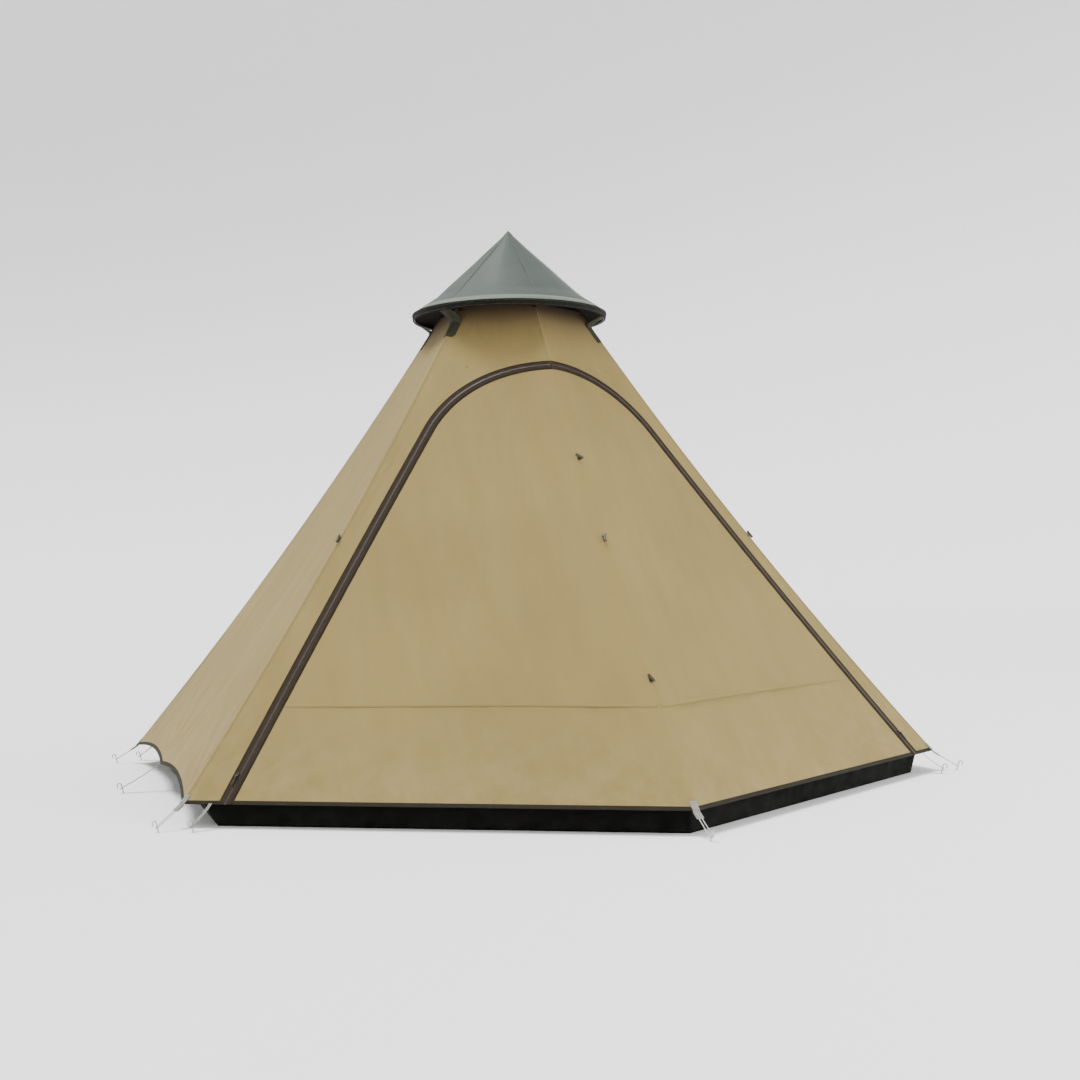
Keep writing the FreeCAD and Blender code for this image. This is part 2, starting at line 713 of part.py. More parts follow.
def sliders():
    """Slider and pull for each leg of each door, mirrored from the front right one."""
    lift = TAPE_T + SLIDER_CLEAR
    low, away, up_leg, normal = slider_frame()
    middle = SLIDER_AWAY + SLIDER_W / 2
    body = Part.makeBox(SLIDER_W, SLIDER_L, SLIDER_H, V(SLIDER_AWAY, -SLIDER_L / 2, lift))
    body = body.makeFillet(1.5, [e for e in body.Edges if e.BoundBox.ZLength > SLIDER_H - 0.1])
    eye_r = PIN_R + PIN_CLEARANCE + EYE_WALL
    pin_z = lift + SLIDER_H + eye_r + EYE_GAP
    pin_y = -SLIDER_L / 2 + PIN_SET
    ears = []
    for x in (middle - PULL_W / 2 - 0.5 - EAR_T, middle + PULL_W / 2 + 0.5):
        ears.append(Part.makeBox(EAR_T, 5, 2 * eye_r, V(x, pin_y - 2.5, lift + SLIDER_H - 0.5)))
    pin_length = PULL_W + 1.0 + EAR_T
    pin = Part.makeCylinder(PIN_R, pin_length, V(middle - pin_length / 2, pin_y, pin_z), V(1, 0, 0))
    body = join([body] + ears + [pin])
    plate = Part.makeBox(PULL_W, PULL_L, PULL_T, V(middle - PULL_W / 2, pin_y - PULL_L, pin_z - PULL_T / 2))
    eye = Part.makeCylinder(eye_r, PULL_W, V(middle - PULL_W / 2, pin_y, pin_z), V(1, 0, 0))
    hole = Part.makeCylinder(PIN_R + PIN_CLEARANCE, PULL_W, V(middle - PULL_W / 2, pin_y, pin_z), V(1, 0, 0))
    pull = join([plate, eye]).cut(hole)
    body = placed(body, low, away, up_leg, normal)
    pull = placed(pull, low, away, up_leg, normal)
    parts = {}
    for end in ("front", "back"):
        for side in ("right", "left"):
            for name, shape in (("slider", body), ("slider_pull", pull)):
                piece = shape
                if side == "left":
                    piece = piece.mirror(ORIGIN, V(1, 0, 0))
                if end == "back":
                    piece = piece.mirror(ORIGIN, V(0, 1, 0))
                parts[end + "_" + name + "_" + side] = piece
    return parts


def report_frame(low, away, up_leg, normal):
    """Numbers that the joints need: slide direction and travel, and each pull's hinge."""
    travel = (leg_point(SLIDER_HIGH_Z) - low).Length
    lift = TAPE_T + SLIDER_CLEAR
    middle = SLIDER_AWAY + SLIDER_W / 2
    rise = lift + SLIDER_H + PIN_R + PIN_CLEARANCE + EYE_WALL + EYE_GAP
    pin = low + away * middle + up_leg * (-SLIDER_L / 2 + PIN_SET) + normal * rise
    print("slide", [round(c, 5) for c in up_leg], "travel", round(travel, 1))
    print("pull pin", [round(c, 2) for c in pin], "axis", [round(c, 5) for c in away])


def main():
    os.makedirs("parts", exist_ok=True)
    parts = {}
    cloth = (fly_panels, hem_bindings, zip_tapes, top_band, tub)
    hardware = (pole, crown, cap, anchors, toggles, sliders)
    for made in cloth + hardware:
        parts.update(made())
    for name, shape in parts.items():
        if not shape.isValid():
            print("not valid:", name)
        shape.exportStep("parts/" + name + ".step")
    report_frame(*slider_frame())
    print(len(parts), "nodes")


main()
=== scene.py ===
from math import asin, atan2, copysign, cos, dist, exp, hypot, pi, radians, sin, sqrt, tan

import bmesh
import bpy
from mathutils import Matrix, Vector, noise


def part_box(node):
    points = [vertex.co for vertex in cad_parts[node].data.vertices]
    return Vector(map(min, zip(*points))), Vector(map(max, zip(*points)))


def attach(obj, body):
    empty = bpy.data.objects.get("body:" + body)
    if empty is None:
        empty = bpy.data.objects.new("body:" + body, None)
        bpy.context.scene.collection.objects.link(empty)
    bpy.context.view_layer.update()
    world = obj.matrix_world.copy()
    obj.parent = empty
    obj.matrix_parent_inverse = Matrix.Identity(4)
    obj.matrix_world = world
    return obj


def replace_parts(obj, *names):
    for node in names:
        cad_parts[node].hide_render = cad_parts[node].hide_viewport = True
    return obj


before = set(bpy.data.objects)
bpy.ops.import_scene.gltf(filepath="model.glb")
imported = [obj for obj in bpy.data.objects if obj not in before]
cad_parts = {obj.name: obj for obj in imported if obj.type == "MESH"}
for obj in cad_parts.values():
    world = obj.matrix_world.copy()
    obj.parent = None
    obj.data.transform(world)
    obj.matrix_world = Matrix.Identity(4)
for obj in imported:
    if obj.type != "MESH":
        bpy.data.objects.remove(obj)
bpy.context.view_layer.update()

# Row frame, metres: +Z up, ground at Z = 0, ridge 1 towards -Y. Angles are in degrees from -Y to +X.
UP = Vector((0, 0, 1))
RIDGES = [0, 60, 120, 180, 240, 300]
FACES = [30, 90, 150, 210, 270, 330]
MIRRORED = (150, 330)
CORNERS = (("right_front", 60), ("right_back", 120), ("left_back", 240), ("left_front", 300))

# Fly's shape. The curve of each face goes through its top, middle and hem.
_low, _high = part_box("fly_side_right")
HEM_R = 2 * _high[1]
HEM_Z = _low[2]
TOP_Z = _high[2]
TOP_R = 0.319
MID_R = 1.0
MID_Z = 1.098
HEM_MID_Z = 0.11
HEM_RISE_Z = 0.126
HALF = radians(30)
COS_HALF = cos(HALF)
TAN_HALF = tan(HALF)
CLOTH_T = 0.0008

# Door arch in the XZ plane
ARCH_Z = 1.137
ARCH_R = 0.613
LEG_RUN = 0.6685
LEG_NORM = hypot(1, LEG_RUN)
TAPE_W = 0.02
TAPE_T = 0.0014
TEETH_GAP = 0.0003
TEETH_PITCH = 0.0028
TAPE_STITCHING = (0.0065, 0.0165)
DOOR_GAP = 0.003
DOOR_SEAM_Z = 0.41

# Where the cloth lies flat: under the zip's tapes, the ridge seams and the bindings, and by the tub
FLAT_AT_ZIP = 0.019
FLAT_AT_RIDGE = 0.009
BINDING_H = 0.012
TUB_CLEAR_Z = 0.155
TOGGLE_HEIGHTS = [1.34, 1.01, 0.5]

# How far the cloth leaves its taut surface, in each way that it does
BILLOW = 0.009
BROAD_WAVE = 0.0045
CREASE = 0.0016
RIPPLE = 0.0011
PEG_PULL = 0.0035
PUCKER = 0.001
INWARD_BY_TUB = 0.001
INWARD_ABOVE = 0.02

THREAD_R = 0.00045
BINDING_LIFT = 0.0011
FELL_LIFT = 0.0009
GORE_LIFT = 0.0007

# Camera, at the photograph's angle
CAMERA_AZIMUTH = radians(-19.21)
CAMERA_DISTANCE = 6.602
CAMERA_HEIGHT = 0.937
CAMERA_YAW = 0.0186
CAMERA_PITCH = 0.0128
CAMERA_ROLL = -0.0158
CAMERA_LENS = 48.59

# Light
SKY = 0.85
SUN = 4.6
FILL = 300
LIT_POINT = Vector((0, 0, 1))
FLOOR_R = 22
SWEEP_R = 20


# ---- camera, light and floor


def link(name, data):
    """A new object in the scene."""
    made = bpy.data.objects.new(name, data)
    bpy.context.scene.collection.objects.link(made)
    return made


def make_camera():
    data = bpy.data.cameras.new("camera")
    data.lens = CAMERA_LENS
    data.sensor_width = 36
    camera = link("camera", data)
    turn = Matrix.Rotation(CAMERA_AZIMUTH, 3, "Z")
    level = cos(CAMERA_PITCH)
    ahead = Vector((sin(CAMERA_YAW) * level, cos(CAMERA_YAW) * level, sin(CAMERA_PITCH)))
    right = Vector((cos(CAMERA_YAW), -sin(CAMERA_YAW), 0))
    above = right.cross(ahead)
    rolled_right = right * cos(CAMERA_ROLL) + above * sin(CAMERA_ROLL)
    rolled_up = above * cos(CAMERA_ROLL) - right * sin(CAMERA_ROLL)
    axes = [turn @ rolled_right, turn @ rolled_up, turn @ -ahead]
    place = turn @ Vector((0, -CAMERA_DISTANCE, CAMERA_HEIGHT))
    columns = Matrix([list(axis) for axis in axes]).transposed()
    camera.matrix_world = Matrix.Translation(place) @ columns.to_4x4()
    bpy.context.scene.camera = camera


def add_light(name, kind, energy, place, size):
    data = bpy.data.lights.new(name, kind)
    data.energy = energy
    if kind == "AREA":
        data.shape = "DISK"
        data.size = size
    else:
        data.angle = size
    lamp = link(name, data)
    lamp.location = place
    lamp.rotation_euler = (LIT_POINT - Vector(place)).to_track_quat("-Z", "Y").to_euler()


def make_studio():
    world = bpy.data.worlds.new("studio")
    world.use_nodes = True
    sky = world.node_tree.nodes["Background"]
    sky.inputs["Color"].default_value = (1.0, 1.0, 1.0, 1.0)
    sky.inputs["Strength"].default_value = SKY
    bpy.context.scene.world = world
    add_light("key", "SUN", SUN, (-2.0, 1.6, 8), radians(22))
    add_light("fill", "AREA", FILL, (5, -6, 3), 5)
    mat = bpy.data.materials.new("studio_floor")
    mat.use_nodes = True
    shader = mat.node_tree.nodes["Principled BSDF"]
    shader.inputs["Base Color"].default_value = (0.94, 0.94, 0.94, 1)
    shader.inputs["Roughness"].default_value = 0.9
    LOOK["studio_floor"] = mat
    profile = [(0.0, 0.0), (6.0, 0.0), (14.0, 0.0), (FLOOR_R, 0.0)]
    for degrees in range(5, 95, 5):
        rise = radians(degrees)
        profile.append((FLOOR_R + SWEEP_R * sin(rise), SWEEP_R - SWEEP_R * cos(rise)))
    turns = 72
    verts = []
    for r, z in profile:
        for k in range(turns):
            turn = 2 * pi * k / turns
            verts.append(Vector((r * cos(turn), r * sin(turn), z)))
    floor = put("studio_floor", verts, grid_faces(len(profile), turns, True), "studio_floor")
    bmesh_clean(floor)


# ---- materials


class Shade:
    """A material's node tree, built up a node at a time."""

    def __init__(self, name):
        self.material = bpy.data.materials.new(name)
        self.material.use_nodes = True
        self.tree = self.material.node_tree
        self.shader = self.tree.nodes["Principled BSDF"]

    def node(self, kind, **inputs):
        made = self.tree.nodes.new(kind)
        for key, value in inputs.items():
            self.feed(made.inputs[key.replace("_", " ")], value)
        return made

    def feed(self, socket, value):
        if isinstance(value, bpy.types.NodeSocket):
            self.tree.links.new(value, socket)
        else:
            socket.default_value = value

    def set(self, **inputs):
        for key, value in inputs.items():
            self.feed(self.shader.inputs[key.replace("_", " ")], value)

    def uv(self):
        return self.tree.nodes.new("ShaderNodeTexCoord").outputs["UV"]

    def place(self):
        return self.tree.nodes.new("ShaderNodeTexCoord").outputs["Object"]

    def scaled(self, vector, scale):
        mapping = self.node("ShaderNodeMapping", Vector=vector, Scale=scale)
        return mapping.outputs["Vector"]

    def noise(self, vector, scale, detail=3.0, roughness=0.5):
        made = self.node("ShaderNodeTexNoise", Vector=vector, Scale=scale, Detail=detail, Roughness=roughness)
        return made.outputs["Fac"]

    def bands(self, vector, pitch, axis):
        """Ridges along one axis, pitch metres apart."""
        made = self.node("ShaderNodeTexWave", Vector=vector, Scale=pi / 10 / pitch)
        made.wave_type = "BANDS"
        made.bands_direction = axis
        return made.outputs["Fac"]

    def math(self, how, a, b=0.0):
        made = self.tree.nodes.new("ShaderNodeMath")
        made.operation = how
        self.feed(made.inputs[0], a)
        self.feed(made.inputs[1], b)
        return made.outputs[0]

    def times(self, a, b):
        return self.math("MULTIPLY", a, b)

    def remap(self, value, low, high, to_low=0.0, to_high=1.0):
        made = self.node("ShaderNodeMapRange", Value=value)
        for key, number in (("From Min", low), ("From Max", high), ("To Min", to_low), ("To Max", to_high)):
            made.inputs[key].default_value = number
        return made.outputs["Result"]

    def mix(self, share, a, b):
        made = self.tree.nodes.new("ShaderNodeMix")
        made.data_type = "RGBA"
        self.feed(made.inputs["Factor"], share)
        self.feed(made.inputs[6], a if isinstance(a, bpy.types.NodeSocket) else (*a, 1))
        self.feed(made.inputs[7], b if isinstance(b, bpy.types.NodeSocket) else (*b, 1))
        return made.outputs[2]

    def bump(self, height, strength, distance, under=None):
        made = self.node("ShaderNodeBump", Height=height, Strength=strength, Distance=distance)
        if under is not None:
            self.feed(made.inputs["Normal"], under)
        return made.outputs["Normal"]

    def height(self, low, high):
        """How far the surface is from height low to height high, in the row frame."""
        split = self.node("ShaderNodeSeparateXYZ", Vector=self.place())
        return self.remap(split.outputs["Z"], low, high)


def tint(colour, factor):
    return tuple(min(1.0, c * factor) for c in colour)


def coated_cloth(name, colour, dust, sheen=0.03, rough=0.72, painted_cap_shade=0.0):
    """Coated polyester cloth: fine plain weave, creases, a dusty hem and, where asked, painted shade: a dark
    brown top where the cap's shadow falls.
    """
    s = Shade(name)
    uv = s.uv()
    broad = s.noise(s.place(), 1.6, 4.0)
    fold = s.noise(s.scaled(uv, (9.0, 1.6, 1.0)), 1.0, 5.0, 0.6)
    slub = s.noise(s.scaled(uv, (2.0, 900.0, 1.0)), 1.0, 2.0)
    fleck = s.noise(uv, 260.0, 2.0)
    base = s.mix(s.remap(broad, 0.35, 0.65), tint(colour, 0.93), tint(colour, 1.06))
    base = s.mix(s.remap(fold, 0.4, 0.75, 0.0, 0.35), base, tint(colour, 0.84))
    base = s.mix(s.remap(slub, 0.45, 0.75, 0.0, 0.16), base, tint(colour, 1.18))
    base = s.mix(s.remap(fleck, 0.55, 0.8, 0.0, 0.14), base, tint(colour, 0.72))
    # Painted shade: near its top, under the cap, the cloth darkens to dark brown in place of the cap's
    # shadow.
    cap_shade_mask = s.times(s.height(1.8, 2.03), s.height(1.7, 1.98))
    base = s.mix(s.times(cap_shade_mask, painted_cap_shade), base, (0.06, 0.038, 0.022))
    dirt = s.times(s.height(0.42, 0.07), s.remap(s.noise(s.place(), 9.0, 6.0, 0.65), 0.42, 0.7))
    base = s.mix(s.times(dirt, 0.2), base, dust)
    s.set(Base_Color=base, Roughness=s.remap(fold, 0.3, 0.7, rough - 0.07, rough + 0.07))
    s.set(Sheen_Weight=sheen, Sheen_Roughness=0.4, Specular_IOR_Level=0.18)
    weave = s.times(s.bands(uv, 0.0009, "X"), s.bands(uv, 0.0009, "Y"))
    normal = s.bump(weave, 0.22, 0.0002)
    normal = s.bump(s.noise(s.scaled(uv, (26.0, 5.0, 1.0)), 1.0, 5.0, 0.6), 0.25, 0.004, normal)
    s.set(Normal=normal)
    return s.material


def webbing(name, colour, pitch=0.0022):
    """Woven tape: ribs across it, a raised herringbone and worn lighter threads."""
    s = Shade(name)
    uv = s.uv()
    ribs = s.bands(uv, pitch, "Y")
    cross = s.bands(uv, pitch * 0.7, "DIAGONAL")
    wear = s.remap(s.noise(s.place(), 38.0, 5.0, 0.7), 0.5, 0.78)
    base = s.mix(ribs, tint(colour, 0.72), tint(colour, 1.12))
    base = s.mix(s.times(wear, 0.45), base, tint(colour, 1.75))
    s.set(Base_Color=base, Roughness=0.75, Specular_IOR_Level=0.15)
    s.set(Normal=s.bump(s.math("ADD", ribs, s.times(cross, 0.5)), 0.55, 0.0006))
    return s.material


def zip_cloth(name, middle, border):
    """Zip tape: herringbone twill, lighter worn flecks and a lighter middle, darker towards its outer
    borders.
    """
    s = Shade(name)
    uv = s.uv()
    across = s.node("ShaderNodeSeparateXYZ", Vector=uv).outputs["X"]
    ribs = s.bands(uv, 0.0014, "Y")
    base = s.mix(s.remap(across, 0.01, 0.016), middle, border)
    base = s.mix(s.times(ribs, 0.3), base, tint(middle, 0.55))
    base = s.mix(s.remap(s.noise(s.place(), 45.0, 5.0, 0.7), 0.52, 0.8, 0.0, 0.35), base, tint(middle, 1.8))
    s.set(Base_Color=base, Roughness=0.8, Specular_IOR_Level=0.1)
    s.set(Normal=s.bump(ribs, 0.5, 0.0005))
    return s.material


def solid_surface(name, colour, rough, metallic, grain, bump, worn=None):
    """Hard parts: fine grain, uneven gloss and, where stated, edges worn to another colour."""
    s = Shade(name)
    place = s.place()
    speck = s.noise(place, grain, 4.0, 0.6)
    cloud = s.noise(place, 14.0, 3.0)
    base = s.mix(s.remap(cloud, 0.3, 0.7), tint(colour, 0.86), tint(colour, 1.12))
    if worn is not None:
        scuff = s.remap(s.noise(place, 55.0, 6.0, 0.75), 0.6, 0.72, 0.0, 0.75)
        base = s.mix(scuff, base, worn)
    s.set(Base_Color=base, Metallic=metallic)
    s.set(Roughness=s.remap(speck, 0.3, 0.7, rough - 0.08, rough + 0.1))
    s.set(Normal=s.bump(speck, bump, 0.0006))
    return s.material


def tub_cloth(name, colour, dust):
    """Woven polyethylene floor sheet: flat tape weave, satin, with dust along the ground."""
    s = Shade(name)
    uv = s.uv()
    weave = s.times(s.bands(uv, 0.0026, "X"), s.bands(uv, 0.0026, "Y"))
    crease = s.noise(s.scaled(uv, (7.0, 14.0, 1.0)), 1.0, 6.0, 0.65)
    base = s.mix(weave, tint(colour, 0.75), tint(colour, 1.25))
    grime = s.times(s.height(0.075, 0.0), s.remap(s.noise(s.place(), 16.0, 6.0, 0.7), 0.35, 0.65))
    base = s.mix(s.times(grime, 0.75), base, dust)
    s.set(Base_Color=base, Roughness=s.remap(crease, 0.3, 0.7, 0.55, 0.75), Specular_IOR_Level=0.05)
    normal = s.bump(weave, 0.3, 0.0004)
    s.set(Normal=s.bump(crease, 0.35, 0.004, normal))
    return s.material


def braid(name, colour):
    """Braided cord: diagonal strands both ways and a fleck of tracer thread."""
    s = Shade(name)
    uv = s.scaled(s.uv(), (0.18, 0.011, 1.0))
    strands = s.bands(uv, 0.0026, "DIAGONAL")
    tracer = s.remap(s.noise(s.place(), 420.0, 2.0), 0.58, 0.66)
    base = s.mix(strands, tint(colour, 0.55), tint(colour, 1.1))
    base = s.mix(s.times(tracer, 0.4), base, tint(colour, 0.45))
    s.set(Base_Color=base, Roughness=0.78, Sheen_Weight=0.15)
    s.set(Normal=s.bump(strands, 0.7, 0.0005))
    return s.material


def make_looks():
    khaki = (0.22, 0.163, 0.055)
    dust = (0.4, 0.33, 0.2)
    worn_grey = (0.3, 0.3, 0.29)
    bare_metal = (0.3, 0.27, 0.22)
    earth = (0.26, 0.22, 0.16)
    return {
        # The fly cloth carries painted shade at its top, under the cap.
        "fly": coated_cloth("fly_cloth", khaki, dust, painted_cap_shade=0.95),
        "cap": coated_cloth("cap_cloth", (0.056, 0.069, 0.061), dust, 0.04, 0.62),
        "cap_band": coated_cloth("cap_band_cloth", (0.128, 0.154, 0.126), dust, 0.04, 0.62),
        "cap_hem": webbing("cap_hem_weave", (0.003, 0.003, 0.0024), 0.0012),
        "lining": coated_cloth("cap_lining_cloth", (0.006, 0.006, 0.005), dust, 0.0, 0.8),
        "tape": zip_cloth("zip_tape_weave", (0.034, 0.024, 0.017), (0.015, 0.012, 0.005)),
        "coil": solid_surface("zip_coil_nylon", (0.05, 0.036, 0.024), 0.35, 0.0, 600.0, 0.05),
        "binding": webbing("hem_binding_weave", (0.02, 0.017, 0.01), 0.0012),
        "olive": webbing("olive_webbing_weave", (0.026, 0.027, 0.014)),
        "strap": webbing("grey_webbing_weave", (0.235, 0.235, 0.21)),
        "thread": webbing("sewing_thread", (0.3, 0.245, 0.135), 0.0008),
        "dark_thread": webbing("dark_sewing_thread", (0.04, 0.032, 0.022), 0.0008),
        "cord": braid("guy_cord_braid", (0.48, 0.49, 0.47)),
        "tub": tub_cloth("tub_sheet", (0.0018, 0.0017, 0.0016), (0.011, 0.011, 0.009)),
        "mesh": tub_cloth("insect_mesh", (0.01, 0.01, 0.01), (0.02, 0.02, 0.02)),
        "pole": solid_surface("powder_coat", (0.1, 0.105, 0.105), 0.42, 0.0, 420.0, 0.25, worn_grey),
        "hoop": solid_surface("glass_fibre_rod", (0.02, 0.02, 0.018), 0.45, 0.0, 300.0, 0.1),
        "plastic": solid_surface("moulded_black", (0.018, 0.018, 0.018), 0.48, 0.0, 700.0, 0.18),
        "toggle": solid_surface("moulded_brown", (0.04, 0.03, 0.014), 0.45, 0.0, 700.0, 0.18),
        "rubber": solid_surface("black_rubber", (0.015, 0.015, 0.015), 0.8, 0.0, 260.0, 0.3),
        "slider": solid_surface("black_enamel", (0.022, 0.019, 0.016), 0.32, 0.3, 500.0, 0.1, bare_metal),
        "peg": solid_surface("galvanised_steel", (0.46, 0.46, 0.45), 0.38, 0.9, 320.0, 0.25, earth),
    }


LOOK = make_looks()


# ---- mesh helpers


def put(name, verts, faces, look, uvs=None, rounded=True):
    """A mesh object from points and faces, with its look and, where given, UVs in metres."""
    mesh = bpy.data.meshes.new(name)
    mesh.from_pydata([tuple(v) for v in verts], [], faces)
    if uvs is not None:
        layer = mesh.uv_layers.new(name="cloth")
        for loop in mesh.loops:
            layer.data[loop.index].uv = uvs[loop.vertex_index]
    mesh.materials.append(LOOK[look])
    for polygon in mesh.polygons:
        polygon.use_smooth = rounded
    return link(name, mesh)


def bmesh_clean(piece):
    """Merge doubled points, as at the middle of a turned shape."""
    work = bmesh.new()
    work.from_mesh(piece.data)
    bmesh.ops.remove_doubles(work, verts=work.verts, dist=1e-5)
    work.to_mesh(piece.data)
    work.free()


def grid_faces(rows, columns, closed=False):
    """Faces between rows of points. In a closed grid each row's end joins its start."""
    faces = []
    for i in range(rows - 1):
        low = i * columns
        high = low + columns
        for j in range(columns if closed else columns - 1):
            nxt = (j + 1) % columns
            faces.append((low + j, low + nxt, high + nxt, high + j))
    return faces


def cloth_area(verts, faces):
    total = 0.0
    for a, b, c, d in faces:
        total += (verts[b] - verts[a]).cross(verts[c] - verts[a]).length / 2
        total += (verts[c] - verts[a]).cross(verts[d] - verts[a]).length / 2
    return total


def thicken(piece, thickness):
    """Give a surface its thickness, on its inner side."""
    made = piece.modifiers.new("thickness", "SOLIDIFY")
    made.thickness = thickness
    made.offset = -1.0
    return piece


# ---- the fly's surface


def circle_through(a, b, c):
    (ax, ay), (bx, by), (cx, cy) = a, b, c
    d = 2 * (ax * (by - cy) + bx * (cy - ay) + cx * (ay - by))
    aa, bb, cc = ax * ax + ay * ay, bx * bx + by * by, cx * cx + cy * cy
    x = (aa * (by - cy) + bb * (cy - ay) + cc * (ay - by)) / d
    y = (aa * (cx - bx) + bb * (ax - cx) + cc * (bx - ax)) / d
    return x, y, hypot(ax - x, ay - y)


CURVE_N, CURVE_Z, CURVE_R = circle_through(
    (TOP_R * COS_HALF, TOP_Z), (MID_R * COS_HALF, MID_Z), (HEM_R * COS_HALF, HEM_Z)
)


def face_n(z, lift=0.0):
    """Distance from the pole's axis to a face at height z, lift metres off its outer side."""
    return CURVE_N - sqrt((CURVE_R - lift) ** 2 - (z - CURVE_Z) ** 2)


def slope_length(z):
    """Length along a face from the hem's height up to height z."""
    low = asin((HEM_Z - CURVE_Z) / CURVE_R)
    return CURVE_R * (asin((z - CURVE_Z) / CURVE_R) - low)


def turned(angle, n, side, z):
    """Point n out from the pole's axis at an angle, side across it and z up."""
    t = radians(angle)
    return Vector((n * sin(t) + side * cos(t), -n * cos(t) + side * sin(t), z))


def on_face(angle, side, z, lift=0.0):
    """Point on the face at an angle, side metres along it towards the next ridge."""
    return turned(angle, face_n(z, lift), side, z)


def on_ridge(angle, z, side=0.0, lift=0.0):
    """Point beside a ridge, on the next face if side is positive, else on the one before."""
    edge = face_n(z) * TAN_HALF
    if side >= 0:
        return on_face(angle + 30, side - edge, z, lift)
    return on_face(angle - 30, edge + side, z, lift)


def ridge_axes(angle):
    """Unit vectors outwards at an angle and across it, towards larger angles."""
    t = radians(angle)
    return Vector((sin(t), -cos(t), 0)), Vector((cos(t), sin(t), 0))


def ridge_r(z):
    return face_n(z) / COS_HALF


def normal_at(angle, z):
    slope = asin((CURVE_Z - z) / CURVE_R)
    return ridge_axes(angle)[0] * cos(slope) + UP * sin(slope)


def arch_half(z, offset=0.0):
    """Half the arch's width at height z, the outline grown by offset."""
    radius = ARCH_R + offset
    tangent_z = ARCH_Z + radius * LEG_RUN / LEG_NORM
    if z <= tangent_z:
        return radius * LEG_NORM + (ARCH_Z - z) * LEG_RUN
    return sqrt(max(0.0, radius * radius - (z - ARCH_Z) ** 2))


def past_arch(x, z):
    """How far outside the arch's line the point at distance x from the ridge is."""
    tangent_z = ARCH_Z + ARCH_R * LEG_RUN / LEG_NORM
    if z <= tangent_z:
        return (x - arch_half(z)) / LEG_NORM
    return hypot(x, z - ARCH_Z) - ARCH_R


def side_of(x, z):
    """Place along a door face, measured from its middle, of the point at distance x from ridge 1."""
    return (x - face_n(z) / 2) / COS_HALF


def hem_height(side):
    """Lower edge of a side face: two shallow arcs between the corners and the middle tab."""
    half = HEM_R / 2
    u = abs(side) / half
    rise = HEM_RISE_Z - (HEM_Z + HEM_MID_Z) / 2
    return HEM_MID_Z + (HEM_Z - HEM_MID_Z) * u + 4 * rise * u * (1 - u)


def smooth(t):
    t = max(0.0, min(1.0, t))
    return t * t * (3 - 2 * t)


def slack(point, u, v, edge, corners, seed):
    """How far the cloth stands off its taut surface: billow, creases and pulls from the pegs.

    It goes inwards no further than the tub's wall lets it."""
    shift = Vector((seed * 3.7, seed * 1.9, seed * 5.3))
    hold = smooth(edge / 0.05)
    billow = -BILLOW * sin(pi * min(1, max(0, u))) * sin(pi * min(1, max(0, v)))
    broad = BROAD_WAVE * noise.noise(point * 2.3 + shift)
    crease = noise.noise(Vector((u * 13.0, v * 3.1, seed * 7.7)))
    fine = CREASE * (1 - abs(crease)) ** 3
    ripple = RIPPLE * noise.noise(Vector((u * 42.0, v * 9.0, seed * 2.1)))
    pull = 0.0
    for corner in corners:
        away = point - corner
        reach = away.length
        turn = atan2(away.z, hypot(away.x, away.y))
        spread = sin(turn * 26.0 + seed) + 0.5 * sin(turn * 47.0 + 2.0 * seed)
        pull += PEG_PULL * spread * smooth(reach / 0.12) * exp(-reach / 0.38)
    pucker = PUCKER * sin((u + v) * 150.0 + seed) * exp(-edge / 0.022) * smooth(edge / 0.006)
    lift = hold * (billow + broad + fine + ripple + pull) + pucker
    over_tub = -INWARD_BY_TUB - INWARD_ABOVE * smooth((point.z - TUB_CLEAR_Z) / 0.1)
    return max(lift, over_tub)


def cloth_panel(name, angle, rows, columns, where, corners, seed):
    """Panel of cloth on one face. where(u, v) gives side, height, distance to a held edge and how
    far across the face the point is, from 0 to 1."""
    flat = []
    shaped = []
    uvs = []
    for i in range(rows):
        v = i / (rows - 1)
        for j in range(columns):
            u = j / (columns - 1)
            side, z, edge, across = where(u, v)
            base = on_face(angle, side, z)
            lift = slack(base, across, (z - HEM_Z) / (TOP_Z - HEM_Z), edge, corners, seed)
            flat.append(base)
            shaped.append(base + normal_at(angle, z) * lift)
            uvs.append((side, slope_length(z)))
    faces = grid_faces(rows, columns)
    piece = thicken(put(name, shaped, faces, "fly", uvs), CLOTH_T)
    return piece, cloth_area(flat, faces)


def door_heights(top, rows):
    """Heights for a door's rows: even up the legs, closer together round the arch's top."""
    tangent_z = ARCH_Z + (top - ARCH_Z) * LEG_RUN / LEG_NORM
    leg_rows = int(rows * 0.72)
    heights = [HEM_Z + (tangent_z - HEM_Z) * i / leg_rows for i in range(leg_rows)]
    start = asin(LEG_RUN / LEG_NORM)
    arc_rows = rows - leg_rows
    for i in range(arc_rows):
        turn = start + (pi / 2 - start) * i / (arc_rows - 1)
        heights.append(ARCH_Z + (top - ARCH_Z) * sin(turn))
    return heights


def crest_radius(z):
    """How softly a door bends over the middle ridge: less at the hem, the top and each toggle."""
    soft = smooth((z - 0.36) / 0.12) * smooth((ARCH_Z + ARCH_R - 0.04 - z) / 0.1)
    for toggle in TOGGLE_HEIGHTS:
        soft *= smooth(abs(z - toggle) / 0.14)
    return 0.003 + 0.011 * soft


